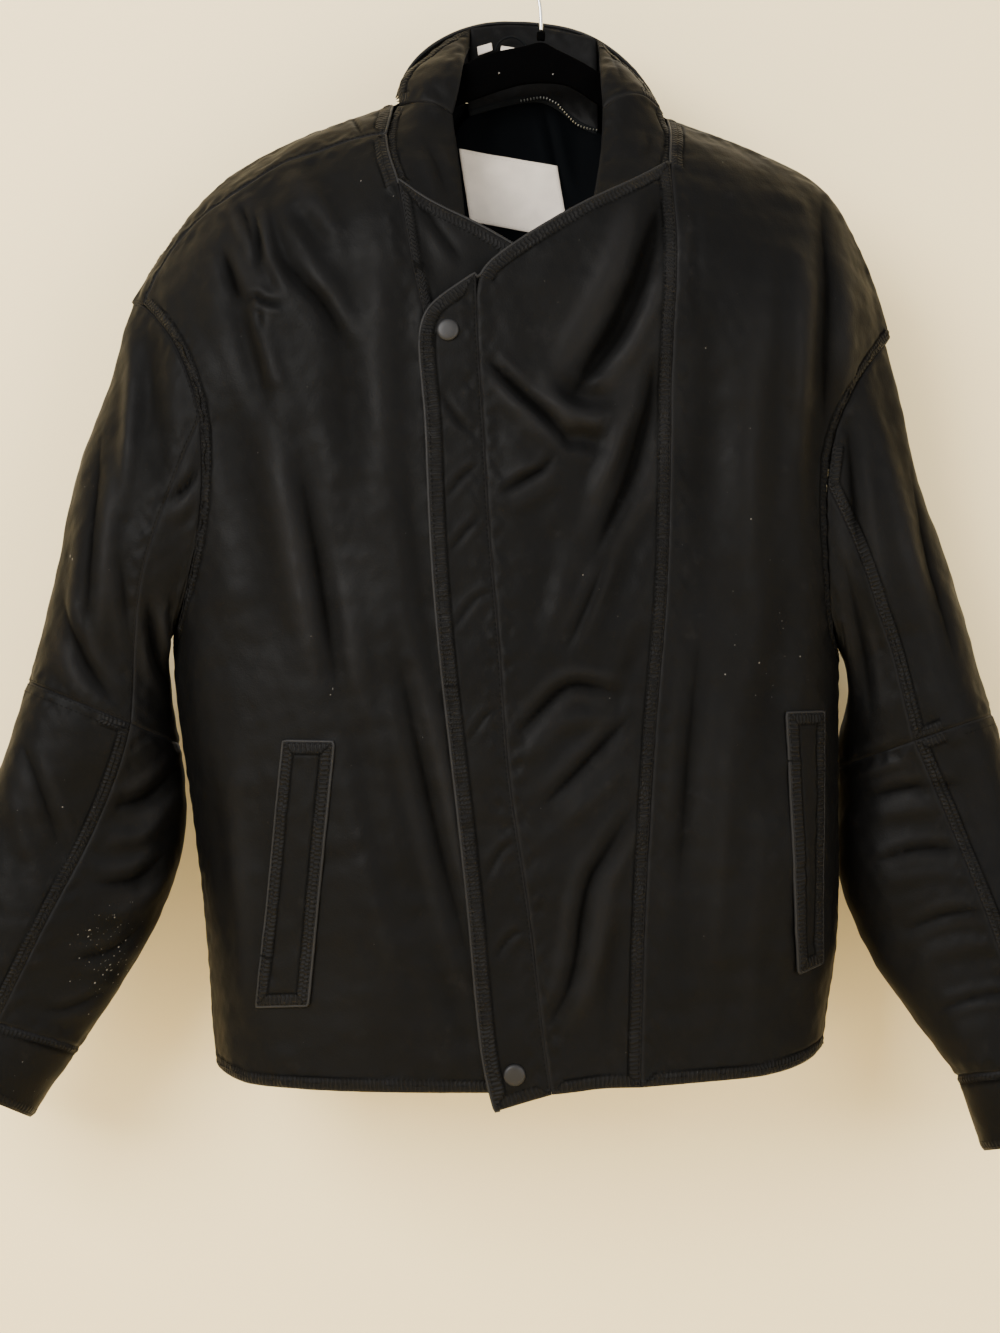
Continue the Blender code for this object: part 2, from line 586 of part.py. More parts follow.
def cut_cloth(panel, normals, root):
    """Makes a panel's solid wall."""
    flat = panel.points.reshape(-1, 3)
    shared = unit(np.array([normals[seam_key(point)] for point in flat]))
    shared = shared.reshape(panel.points.shape)
    move = drawn_in(panel)
    hollow = np.sum(shared * unit(move), axis=-1, keepdims=True)
    own = unit(panel.normals())
    agree = np.sum(shared * own, axis=-1, keepdims=True)
    alone = np.maximum(smooth_step((hollow - HOLLOW_START) / HOLLOW_RANGE),
                       smooth_step((AGREE_START - agree) / HOLLOW_RANGE))
    outward = unit(shared * (1.0 - alone) + own * alone)
    outer = panel.points + move
    shape = wall_shape(outer, outer - outward * panel.wall, panel.closed)
    return add_object(panel.name, shape, panel.finish, root)


def body_panels():
    """The body's pieces, and the armhole edges that the sleeves share."""
    ridge_left = edge(LEFT_RIDGE, SHOULDER_COLUMNS, side_depth)
    ridge_right = edge(RIGHT_RIDGE, SHOULDER_COLUMNS, side_depth)
    neck = pinned(edge(NECK_SEAM, NECK_COLUMNS, back_depth), ridge_left[-1], ridge_right[0])
    side_left = edge(LEFT_SIDE[2:], SIDE_ROWS, side_depth)
    side_right = edge(((838, 650),) + RIGHT_SIDE[6:], SIDE_ROWS, side_depth)

    strip_edge = edge(STRIP_EDGE, SHOULDER_COLUMNS, front_depth)
    strip_end = pinned(edge((LEFT_RIDGE[0], STRIP_EDGE[0]), STRIP_ROWS, front_depth),
                       ridge_left[0], strip_edge[0])
    strip_neck = pinned(edge((LEFT_RIDGE[-1], STRIP_EDGE[-1]), STRIP_ROWS, front_depth),
                        ridge_left[-1], strip_edge[-1])
    strip = fill(ridge_left, strip_edge, strip_end, strip_neck, front_depth, 1.0)

    armhole = pinned(edge(LEFT_ARMHOLE, ARM_ROWS - STRIP_ROWS, front_depth), strip_edge[0],
                     side_left[0])
    under_rows = ARM_ROWS + SIDE_ROWS - 2 * STRIP_ROWS
    free_side = pinned(edge(LEFT_FREE_EDGE_SIDE, STRIP_ROWS, front_depth), strip_edge[-1])
    under_seam = pinned(edge(UNDER_SEAM, under_rows, front_depth), free_side[-1])
    hem = pinned(edge(LEFT_HEM, SHOULDER_COLUMNS, front_depth), side_left[-1], under_seam[-1])
    right_front = fill(strip_edge, hem, joined(armhole, side_left), joined(free_side, under_seam),
                       front_depth)

    lap_top = pinned(edge(LEFT_FREE_EDGE, UNDERLAP_COLUMNS, underlap_depth), under_seam[0])
    lap_edge = pinned(edge(UNDERLAP_EDGE, under_rows, underlap_depth), lap_top[-1])
    lap_hem = pinned(edge(UNDERLAP_HEM, UNDERLAP_COLUMNS, underlap_depth), under_seam[-1],
                     lap_edge[-1])
    underlap = fill(lap_top, lap_hem, under_seam, lap_edge, underlap_depth)

    long_rows = ARM_ROWS + SIDE_ROWS - STRIP_ROWS
    flap_edge = edge(FLAP_EDGE, long_rows, wrap_depth)
    placket_seam = edge(PLACKET_SEAM, long_rows, wrap_depth)
    princess = edge(PRINCESS_SEAM, long_rows, wrap_depth)
    corner = pinned(edge(FLAP_CORNER, PLACKET_COLUMNS, wrap_depth), flap_edge[0], placket_seam[0])
    placket_hem = pinned(edge(PLACKET_HEM, PLACKET_COLUMNS, wrap_depth), flap_edge[-1],
                         placket_seam[-1])
    placket = fill(corner, placket_hem, flap_edge, placket_seam, wrap_depth)
    centre_top = pinned(edge(CENTRE_FREE_EDGE, CENTRE_COLUMNS, wrap_depth), placket_seam[0],
                        princess[0])
    centre_hem = pinned(edge(CENTRE_HEM, CENTRE_COLUMNS, wrap_depth), placket_seam[-1],
                        princess[-1])
    centre = fill(centre_top, centre_hem, placket_seam, princess, wrap_depth)

    side_top = pinned(edge(SIDE_FREE_EDGE, STRIP_ROWS, wrap_depth), ridge_right[0], princess[0])
    armhole_right = pinned(edge(RIGHT_ARMHOLE, ARM_ROWS, front_depth), ridge_right[-1],
                           side_right[0])
    right_hem = pinned(edge(RIGHT_HEM, SHOULDER_COLUMNS, wrap_depth), princess[-1], side_right[-1])
    side_front = fill(ridge_right, right_hem, joined(side_top, princess),
                      joined(armhole_right, side_right), wrap_depth)

    armhole_back = pinned(edge(LEFT_ARMHOLE_BACK, ARM_ROWS, back_depth), ridge_left[0],
                          side_left[0])
    armhole_back_right = pinned(edge(RIGHT_ARMHOLE_BACK, ARM_ROWS, back_depth), ridge_right[-1],
                                side_right[0])
    back_top = joined(ridge_left, neck, ridge_right)
    back_hem = pinned(edge(BACK_HEM, len(back_top) - 1, back_depth), side_left[-1],
                      side_right[-1])
    back = fill(back_top, back_hem, joined(armhole_back, side_left),
                joined(armhole_back_right, side_right), back_depth)

    panels = [Panel("shoulder_strip", strip), Panel("right_front", right_front),
              Panel("right_underlap", underlap), Panel("left_placket", placket),
              Panel("left_centre_front", centre), Panel("left_side_front", side_front),
              Panel("back", back, turned=True)]
    rings = {"right": armhole_ring(joined(strip_end, armhole), armhole_back),
             "left": armhole_ring(armhole_right, armhole_back_right)}
    return panels, rings, neck, ridge_left, ridge_right


def armhole_ring(front, back):
    """The armhole as one loop: shoulder, front, underarm, back."""
    return np.concatenate((front, back[-2:0:-1]))


def sleeve_rings(stations, count, start, end, armhole=None):
    """Rings of a sleeve between two stations, the first ones drawn from the armhole."""
    table = smooth_stations(stations)
    rings = []
    for step in range(count + 1):
        at = start + (end - start) * step / count
        ring = section_ring(table(at))
        if armhole is not None:
            pull = max(0.0, 1.0 - at / ARMHOLE_REACH) ** 2
            ring = ring + pull * (armhole - section_ring(table(0.0)))
        rings.append(ring)
    return np.array(rings)


def smooth_stations(stations):
    """Reads the sleeve's table between its stations."""
    knots = np.asarray(stations, dtype=float)
    slopes = np.gradient(knots, axis=0)

    def read(at):
        low = min(int(at), len(knots) - 2)
        x = at - low
        return (knots[low] * (2 * x**3 - 3 * x**2 + 1) + slopes[low] * (x**3 - 2 * x**2 + x)
                + knots[low + 1] * (3 * x**2 - 2 * x**3) + slopes[low + 1] * (x**3 - x**2))

    return read


def section_ring(row):
    """One ring of the sleeve: outer edge, front, inner edge, back."""
    outer_u, outer_v, inner_u, inner_v, outer_y, inner_y, half, front_seam, back_seam = row
    half_count = ARM_ROWS
    knots = (0, SEAM_COLUMN, half_count, 2 * half_count - SEAM_COLUMN, 2 * half_count)
    turns = (0.0, front_seam, 1.0, 2.0 - back_seam, 2.0)
    angle = math.pi * np.interp(np.arange(2 * half_count), knots, turns)
    power = 2.0 / SLEEVE_FULLNESS
    cosine = np.sign(np.cos(angle)) * np.abs(np.cos(angle)) ** power
    sine = np.sign(np.sin(angle)) * np.abs(np.sin(angle)) ** power
    share = (1.0 - cosine) / 2.0
    return np.column_stack((outer_u + (inner_u - outer_u) * share,
                            outer_v + (inner_v - outer_v) * share,
                            outer_y + (inner_y - outer_y) * share - half * sine))


def crumple(rings, start):
    """Presses soft folds into a sleeve's rings."""
    rings = rings.copy()
    columns = np.arange(rings.shape[1])
    middle = rings.mean(axis=1)
    for row in range(rings.shape[0]):
        phase = row * SLEEVE_FOLD_TURN + start
        wave = np.sin(phase + columns * 0.52) + 0.6 * np.sin(phase * 0.63 - columns * 1.05)
        free = (smooth_step((row - SLEEVE_FOLD_START) / SLEEVE_FOLD_FADE[0])
                * smooth_step((SLEEVE_FOLD_STOP - row) / SLEEVE_FOLD_FADE[1]))
        rings[row, :, 2] += (np.sign(rings[row, :, 2] - middle[row, 2]) * SLEEVE_FOLD_HEIGHT
                             * wave * free)
    return rings


def sleeve_panels(side, stations, cuff_stations, ring, turned):
    """A sleeve's four pieces and its cuff."""
    last = len(stations) - 1
    upper = sleeve_rings(stations, UPPER_RINGS, 0.0, ELBOW_STATION, ring)
    lower = sleeve_rings(stations, FOREARM_RINGS, ELBOW_STATION, last)
    whole = crumple(np.concatenate((upper, lower[1:])), 1.7 if turned else 0.0)
    upper = whole[:UPPER_RINGS + 1]
    lower = whole[UPPER_RINGS:]
    cuff = sleeve_rings(cuff_stations, CUFF_RINGS, 0.0, len(cuff_stations) - 1)
    cuff[0] = lower[-1]
    count = 2 * ARM_ROWS
    outer_columns = [(index % count) for index in range(-SEAM_COLUMN, SEAM_COLUMN + 1)]
    inner_columns = list(range(SEAM_COLUMN, count - SEAM_COLUMN + 1))
    return [Panel(side + "_sleeve_top", upper[:, outer_columns], turned=turned),
            Panel(side + "_sleeve_under", upper[:, inner_columns], turned=turned),
            Panel(side + "_forearm_outer", lower[:, outer_columns], turned=turned),
            Panel(side + "_forearm_inner", lower[:, inner_columns], turned=turned),
            Panel(side + "_cuff", cuff, turned=turned, closed=True)]


def collar_panels(neck):
    """The collar and the faces that show inside it."""
    steps = len(neck) - 1
    free = pinned(edge(COLLAR_EDGE, steps), neck[0], neck[-1])
    shares = np.linspace(0.0, 1.0, COLLAR_ROWS + 1)[:, None, None]
    collar = free[None] * (1 - shares) + neck[None] * shares
    for end, beside in ((0, 1), (-1, -2)):
        collar[:, end] += (collar[:, beside] - collar[:, end]) * COLLAR_END_SHARE
    back_top = edge(BACK_FACING_TOP, LINING_COLUMNS)
    back_foot = edge(BACK_FACING_FOOT, LINING_COLUMNS)
    back = fill(back_top, back_foot, edge((back_top[0], back_foot[0]), BACK_FACING_ROWS),
                edge((back_top[-1], back_foot[-1]), BACK_FACING_ROWS), fade=1.0)
    facing = dict(finish="facing", wall=FACING_WALL)
    pieces = [Panel("collar", collar, turned=True), Panel("collar_facing_back", back, **facing)]
    pieces += facing_pair("right", RIGHT_FACING_TOP, RIGHT_FACING_EDGE, RIGHT_FACING_INNER,
                          RIGHT_CROSS_SEAM, RIGHT_FRONT_FACING_EDGE, RIGHT_FRONT_FACING_INNER,
                          RIGHT_FRONT_FACING_FOOT)
    pieces += facing_pair("left", LEFT_FACING_TOP[::-1], LEFT_FACING_INNER, LEFT_FACING_EDGE,
                          LEFT_CROSS_SEAM, LEFT_FRONT_FACING_INNER, LEFT_FRONT_FACING_EDGE,
                          LEFT_FRONT_FACING_FOOT)
    lining = fill(edge(LINING_TOP, LINING_COLUMNS), edge(LINING_FOOT, LINING_COLUMNS),
                  edge(LINING_RIGHT, LINING_ROWS), edge(LINING_LEFT, LINING_ROWS), fade=1.0)
    pieces.append(Panel("neck_lining", lining, finish="lining", wall=LINING_WALL))
    zip_top = edge(ZIP_LINE, LINING_COLUMNS)
    zip_foot = zip_top.copy()
    zip_top[:, 1] -= ZIP_TAPE_HEIGHT / 2.0
    zip_foot[:, 1] += ZIP_TAPE_HEIGHT / 2.0
    pieces.append(Panel("liner_zip_tape", np.array((zip_top, zip_foot)), finish="tape",
                        wall=TAPE_WALL))
    return pieces


def facing_pair(side, top, left, right, cross, front_left, front_right, foot):
    """A collar facing and the front facing below it, parted by the cross seam."""
    top_edge, cross_edge, foot_edge = (edge(line, FACING_COLUMNS) for line in (top, cross, foot))

    def between(first, second, line):
        return pinned(edge(line, FACING_ROWS), first, second)

    upper = fill(top_edge, cross_edge, between(top_edge[0], cross_edge[0], left),
                 between(top_edge[-1], cross_edge[-1], right), fade=1.0)
    lower = fill(cross_edge, foot_edge, between(cross_edge[0], foot_edge[0], front_left),
                 between(cross_edge[-1], foot_edge[-1], front_right), fade=1.0)
    return [Panel("collar_facing_" + side, upper, finish="facing", wall=FACING_WALL),
            Panel("front_facing_" + side, lower, finish="facing", wall=FACING_WALL)]


def sight_hit(item, u, v):
    """Where the line of sight through u, v meets an object, and the outward direction there."""
    tree = BVHTree.FromObject(item, bpy.context.evaluated_depsgraph_get())
    eye = Vector((EYE_X, -EYE_DISTANCE, EYE_Z))
    aim = Vector((EYE_X + (u - VIEW_CENTRE_U) * PIXEL_SIZE, 0.0,
                  EYE_Z - (v - VIEW_CENTRE_V) * PIXEL_SIZE))
    where, normal, _, _ = tree.ray_cast(eye, aim - eye)
    if where is None:
        raise ValueError(f"{item.name} has no cloth at {u}, {v}")
    return where, normal if normal.y < 0.0 else -normal


def laid_on(item, corners, columns, rows, gap):
    """Grid of points that lie on an object inside four corners of the front view."""
    a, b, c, d = (np.array(corner, dtype=float) for corner in corners)
    spots = []
    for row in range(rows + 1):
        down = row / rows
        line = []
        for column in range(columns + 1):
            over = column / columns
            spot = (1 - down) * ((1 - over) * a + over * b) + down * ((1 - over) * d + over * c)
            where, normal = sight_hit(item, *spot)
            line.append(where + normal * gap)
        spots.append(line)
    return np.array(spots)


def lay_piece(name, item, corners, columns, rows, gap, wall, finish, root):
    """A flat piece sewn on a panel, made from the panel's own points moved out."""
    inner = laid_on(item, corners, columns, rows, gap)
    outer = laid_on(item, corners, columns, rows, gap + wall)
    return add_object(name, wall_shape(outer, inner, False), finish, root)


def add_snap(name, item, seat, root):
    """A low round cap that sits on the placket."""
    where, normal = sight_hit(item, *seat)
    foot = where + normal * SNAP_GAP
    side = normal.orthogonal().normalized()
    other = normal.cross(side)
    shape = bmesh.new()
    loops = []
    for reach, height in SNAP_PROFILE:
        loop = []
        for step in range(SNAP_SIDES):
            angle = 2.0 * math.pi * step / SNAP_SIDES
            out = side * math.cos(angle) + other * math.sin(angle)
            spot = foot + out * reach * SNAP_RADIUS + normal * height * SNAP_HEIGHT
            loop.append(shape.verts.new(spot))
        loops.append(loop)
    for low, high in zip(loops, loops[1:]):
        for step in range(SNAP_SIDES):
            beside = (step + 1) % SNAP_SIDES
            shape.faces.new((low[step], low[beside], high[beside], high[step]))
    shape.faces.new(loops[0])
    shape.faces.new(loops[-1])
    return add_object(name, shape, "gunmetal", root)


def tube_shape(path, radius, sides):
    """A round bar along a path."""
    path = [Vector(point) for point in path]
    shape = bmesh.new()
    loops = []
    across_bar = Vector((0.0, 1.0, 0.0))
    for index, point in enumerate(path):
        ahead = path[min(index + 1, len(path) - 1)] - path[max(index - 1, 0)]
        side = ahead.cross(across_bar).normalized()
        up = side.cross(ahead).normalized()
        loops.append([shape.verts.new(point + (side * math.cos(2 * math.pi * step / sides)
                                               + up * math.sin(2 * math.pi * step / sides)) * radius)
                      for step in range(sides)])
    for low, high in zip(loops, loops[1:]):
        for step in range(sides):
            beside = (step + 1) % sides
            shape.faces.new((low[step], low[beside], high[beside], high[step]))
    shape.faces.new(loops[0])
    shape.faces.new(loops[-1])
    return shape


def hanger_stations(ridge_left, ridge_right):
    """Top and bottom of the hanger from one tip to the other."""
    arms = []
    for ridge in (ridge_left, ridge_right):
        points = place(ridge)
        slope = unit(np.gradient(points, axis=0))
        down = np.stack((slope[:, 2], np.zeros(len(slope)), -slope[:, 0]), axis=-1)
        down *= np.where(down[:, 2:] > 0, -1.0, 1.0)
        top = points + down * (LEATHER_WALL + HANGER_SEAT)
        arms.append(np.stack((top, top + np.array((0.0, 0.0, -HANGER_ARM_HEIGHT))), axis=1))
    hub = []
    for top, foot in zip(HANGER_HUB_TOP, HANGER_HUB_FOOT):
        hub.append(place(np.array(((*top, 0.0), (*foot, 0.0)))))
    return np.concatenate((arms[0][HANGER_ENDS_LEFT_OUT:], np.array(hub),
                           arms[1][:-HANGER_ENDS_LEFT_OUT]))


def add_hanger(ridge_left, ridge_right, root):
    """The hanger's arms, ferrule and wire hook."""
    stations = hanger_stations(ridge_left, ridge_right)
    shape = bmesh.new()
    loops = []
    for index, (top, foot) in enumerate(stations):
        end = min(index, len(stations) - 1 - index)
        foot = foot + (top - foot) * HANGER_END_RISE[min(end, len(HANGER_END_RISE) - 1)]
        loop = []
        for share, depth in HANGER_SECTION:
            spot = foot + (top - foot) * share
            loop.append(shape.verts.new((spot[0], HANGER_HALF_THICKNESS * depth, spot[2])))
        loops.append(loop)
    for low, high in zip(loops, loops[1:]):
        for step in range(len(low)):
            beside = (step + 1) % len(low)
            shape.faces.new((low[step], low[beside], high[beside], high[step]))
    shape.faces.new(loops[0])
    shape.faces.new(loops[-1])
    add_object("hanger_arms", shape, "flock", root)
    add_object("hanger_ferrule", tube_shape(((0, 0, FERRULE_FOOT), (0, 0, FERRULE_TOP)),
                                            FERRULE_RADIUS, FERRULE_SIDES), "flock", root)
    add_object("hanger_hook", tube_shape(hook_path(), HOOK_WIRE_RADIUS, HOOK_SIDES), "steel", root)


def hook_path():
    """The wire's middle line: a straight stem, a soft bend and a round crook."""
    centre = HOOK_WIRE_RADIUS - HOOK_RADIUS
    path = [(0.0, 0.0, HOOK_STEM_FOOT), (0.0, 0.0, HOOK_BEND)]
    start = math.radians(HOOK_START_ANGLE)
    stop = math.radians(HOOK_END_ANGLE)
    first = (math.cos(start) * HOOK_RADIUS, centre + math.sin(start) * HOOK_RADIUS)
    for step in range(1, HOOK_BEND_STEPS):
        share = step / HOOK_BEND_STEPS
        path.append((first[0] * float(smooth_step(share)), 0.0,
                     HOOK_BEND_END + (first[1] - HOOK_BEND_END) * share))
    for step in range(HOOK_TURNS + 1):
        angle = start + (stop - start) * step / HOOK_TURNS
        path.append((math.cos(angle) * HOOK_RADIUS, 0.0, centre + math.sin(angle) * HOOK_RADIUS))
    return path


def main():
    """Builds every piece under one empty."""
    for item in list(bpy.data.objects):
        bpy.data.objects.remove(item, do_unlink=True)
    root = bpy.data.objects.new("hook_point", None)
    bpy.context.scene.collection.objects.link(root)

    panels, rings, neck, ridge_left, ridge_right = body_panels()
    panels += sleeve_panels("right", VIEW_LEFT_SLEEVE, VIEW_LEFT_CUFF, rings["right"], False)
    panels += sleeve_panels("left", VIEW_RIGHT_SLEEVE, VIEW_RIGHT_CUFF, rings["left"], True)
    panels += collar_panels(neck)
    normals = shared_normals(panels)
    made = {panel.name: cut_cloth(panel, normals, root) for panel in panels}
    bpy.context.view_layer.update()

    lay_piece("right_pocket_welt", made["right_front"], VIEW_LEFT_WELT, WELT_COLUMNS, WELT_ROWS,
              ON_PANEL_GAP, WELT_WALL, "leather", root)
    lay_piece("left_pocket_welt", made["left_side_front"], VIEW_RIGHT_WELT, WELT_COLUMNS, WELT_ROWS,
              ON_PANEL_GAP, WELT_WALL, "leather", root)
    lay_piece("label", made["neck_lining"], LABEL_CORNERS, LABEL_COLUMNS, LABEL_ROWS,
              ON_PANEL_GAP, TAPE_WALL, "satin", root)
    for number, corners in enumerate(TAB_PLACES, 1):
        lay_piece(f"size_tab_{number}", made["collar_facing_back"], corners, TAB_COLUMNS, 1,
                  ON_PANEL_GAP, TAPE_WALL, "satin", root)
    add_snap("collar_snap", made["left_placket"], COLLAR_SNAP, root)
    add_snap("hem_snap", made["left_placket"], HEM_SNAP, root)
    loop = place(np.array(HANG_LOOP))
    add_object("hang_loop", tube_shape(loop, HANG_LOOP_RADIUS, HANG_LOOP_SIDES), "tape", root)
    add_hanger(ridge_left, ridge_right, root)


main()
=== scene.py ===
import math

import bmesh
import bpy
import numpy as np
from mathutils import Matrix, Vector
from mathutils.bvhtree import BVHTree
from mathutils.kdtree import KDTree


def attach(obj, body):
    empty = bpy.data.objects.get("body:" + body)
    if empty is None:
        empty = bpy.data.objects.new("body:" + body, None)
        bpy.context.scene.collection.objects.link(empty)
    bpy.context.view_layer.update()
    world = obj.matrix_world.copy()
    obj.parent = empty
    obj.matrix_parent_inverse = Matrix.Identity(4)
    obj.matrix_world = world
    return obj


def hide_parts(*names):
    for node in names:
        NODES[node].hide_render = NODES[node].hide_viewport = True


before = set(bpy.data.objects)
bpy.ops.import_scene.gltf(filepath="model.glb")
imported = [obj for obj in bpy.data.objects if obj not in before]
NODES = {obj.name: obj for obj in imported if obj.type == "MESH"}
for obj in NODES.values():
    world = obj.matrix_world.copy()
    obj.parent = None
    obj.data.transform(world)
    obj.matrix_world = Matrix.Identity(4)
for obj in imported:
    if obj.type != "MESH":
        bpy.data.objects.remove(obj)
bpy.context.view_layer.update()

bl_info = {
    "name": "Worn leather jacket",
    "version": (1, 0, 0),
    "blender": (4, 5, 0),
    "location": "3D View > Sidebar > Jacket",
    "description": "Dresses the worn leather jacket on its hanger",
    "category": "Object",
}

# Front view: how a pixel and a depth become a place
EYE_DISTANCE = 1.6
PIXEL_SIZE = 0.000726
EYE_X = -0.0298
EYE_Z = -0.525
VIEW_CENTRE = (500.0, 666.5)
SENSOR = 36.0
LENS = SENSOR * EYE_DISTANCE / (2.0 * VIEW_CENTRE[1] * PIXEL_SIZE)

# Reading the solids, in metres: points nearer than this are one, a rim's faces have an edge
# shorter than this, and triangles that bend less than this become quads
MERGE = 2e-5
RIM_EDGE = 0.0022
SKIN_ANGLE = math.radians(40.0)
# How far each sheet grows to close its seams, and how far a lined piece's edge turns in
SEAM_CLOSE = 0.00019
EDGE_TURN = 0.006
# The lining behind a piece: how much wider its creases are in pixels, its gap and its inset
LINER_REACH = 15.0
LINER_GAP = 0.0018
LINER_INSET = 0.0015
WALLS = {"leather": 0.0014, "facing": 0.0011, "lining": 0.0009, "satin": 0.0006, "tape": 0.0006}

MILLIMETRE = 0.001
# Ripples: how far their pitch varies round the size that is asked for
RIPPLE_RANGE = (0.7, 1.5)
# Creases: points to a line, how far they reach in widths, fade towards their ends, how sharp the
# sharp ones are, and the rim beside each: its share, middle and width
CREASE_SAMPLES = 14
CREASE_REACH = 4
CREASE_FADE = 0.6
CREASE_ENDS = (0.02, 0.98)
CREASE_SHARPNESS = 2.0
CREASE_RIM = (0.35, 1.9, 0.9)
# Where a surface counts as facing the viewer: least turn, and over how much it fades in
FACING_START = 0.15
FACING_FADE = 0.5
# Near an edge creases keep this share, and they have their full height from this distance
EDGE_SHARE = 0.35
EDGE_FADE = 0.012
# Unevenness of the leather and of the label: size, seed and height
UNEVEN = ((0.075, 3, 0.0006), (0.030, 5, 0.00028), (0.013, 11, 0.00009))
LABEL_UNEVEN = (0.024, 9, 0.00022)
# Pucker along an edge: size, seed, height, distance from the edge and spread
PUCKER = (0.011, 7, 0.00030, 0.006, 0.006)
# An edge is rounded down: depth and width
EDGE_ROUND = (0.0008, 0.0015)
# A seam band over its width: where it rises and falls, its height, its puffs' share, run and
# waver, and the trench beside it: middle, width and depth
BAND_RISE = 0.14
BAND_END = 1.04
BAND_FALL = 0.12
BAND_HEIGHT = 0.00055
PUFF_SHARE = 0.30
PUFF_RUN = 0.0021
PUFF_WAVER = (1.7, 0.013)
TRENCH = (1.06, 0.09, 0.0005)
# Wear and painted light: height of one whole step with its least and greatest value, for creases
# and for folds, where below 0 is painted shade and above 0 is rubbed ridges that are also a
# painted highlight, strength and width of the rub along an edge, what a band adds and the painted
# shade a trench takes
CREASE_WEAR_AND_PAINTED_LIGHT = (0.0022, -1.0, 0.4)
FOLD_WEAR_AND_PAINTED_LIGHT = (0.008, -0.3, 0.4)
EDGE_WEAR = (0.7, 0.0014)
BAND_WEAR = 0.2
TRENCH_SHADE = 0.8

# Cloth pieces: node, which skin shows, subdivision levels, finish, and the cut of what shows, all
# round on a tube: width, length and flat area in metres, and what holds it
BODY = (
    ("back", "back", 3, "leather", 0.62, 0.76, 0.37200, "hanger_arms"),
    ("right_front", "front", 4, "leather", 0.3, 0.69, 0.14100, "hanger_arms"),
    ("right_underlap", "front", 3, "leather", 0.11, 0.64, 0.03520, "right_front"),
    ("left_placket", "front", 4, "leather", 0.1, 0.58, 0.02310, "left_centre_front"),
    ("left_centre_front", "front", 4, "leather", 0.15, 0.65, 0.06800, "left_side_front"),
    ("left_side_front", "front", 4, "leather", 0.22, 0.69, 0.11100, "hanger_arms"),
    ("shoulder_strip", "front", 4, "leather", 0.05, 0.26, 0.00800, "hanger_arms"),
)
SLEEVES = (
    ("right_sleeve_top", "larger", 4, "leather", 0.26, 0.32, 0.04850, "right_front"),
    ("right_sleeve_under", "larger", 3, "leather", 0.14, 0.24, 0.01990, "back"),
    ("right_forearm_outer", "larger", 4, "leather", 0.2, 0.28, 0.04420, "right_sleeve_top"),
    ("right_forearm_inner", "larger", 4, "leather", 0.2, 0.27, 0.04170, "right_sleeve_under"),
    ("right_cuff", "larger", 3, "leather", 0.3, 0.056, 0.01580, "right_forearm_outer"),
    ("left_sleeve_top", "larger", 4, "leather", 0.24, 0.31, 0.04280, "left_side_front"),
    ("left_sleeve_under", "larger", 3, "leather", 0.14, 0.22, 0.02080, "back"),
    ("left_forearm_outer", "larger", 4, "leather", 0.19, 0.29, 0.03980, "left_sleeve_top"),
    ("left_forearm_inner", "larger", 4, "leather", 0.2, 0.28, 0.04540, "left_sleeve_under"),
    ("left_cuff", "larger", 3, "leather", 0.3, 0.056, 0.01600, "left_forearm_outer"),
)
COLLAR = (
    ("collar", "back", 4, "leather", 0.26, 0.075, 0.00990, "back"),
    ("collar_facing_back", "front", 3, "facing", 0.11, 0.085, 0.00610, "collar"),
    ("collar_facing_right", "front", 3, "facing", 0.06, 0.1, 0.00370, "collar"),
    ("collar_facing_left", "front", 3, "facing", 0.05, 0.09, 0.00270, "collar"),
    ("front_facing_right", "front", 3, "facing", 0.09, 0.12, 0.00510, "right_front"),
    ("front_facing_left", "front", 3, "facing", 0.09, 0.115, 0.00490, "left_side_front"),
)
INSIDE = (
    ("neck_lining", "front", 3, "lining", 0.14, 0.14, 0.01540, "back"),
    ("liner_zip_tape", "front", 2, "tape", 0.1, 0.01, 0.00043, "neck_lining"),
    ("label", "front", 3, "satin", 0.082, 0.07, 0.00410, "neck_lining"),
    ("size_tab_1", "front", 3, "satin", 0.011, 0.01, 0.00007, "collar_facing_back"),
    ("size_tab_2", "front", 3, "satin", 0.011, 0.01, 0.00007, "collar_facing_back"),
)
POCKETS = (
    ("right_pocket_welt", "front", 3, "leather", 0.041, 0.19, 0.00720, "right_front"),
    ("left_pocket_welt", "front", 3, "leather", 0.041, 0.186, 0.00570, "left_side_front"),
)
LINED = ("back", "right_front", "left_side_front", "right_sleeve_top", "right_sleeve_under",
         "right_forearm_outer", "right_forearm_inner", "right_cuff", "left_sleeve_top",
         "left_sleeve_under", "left_forearm_outer", "left_forearm_inner", "left_cuff")

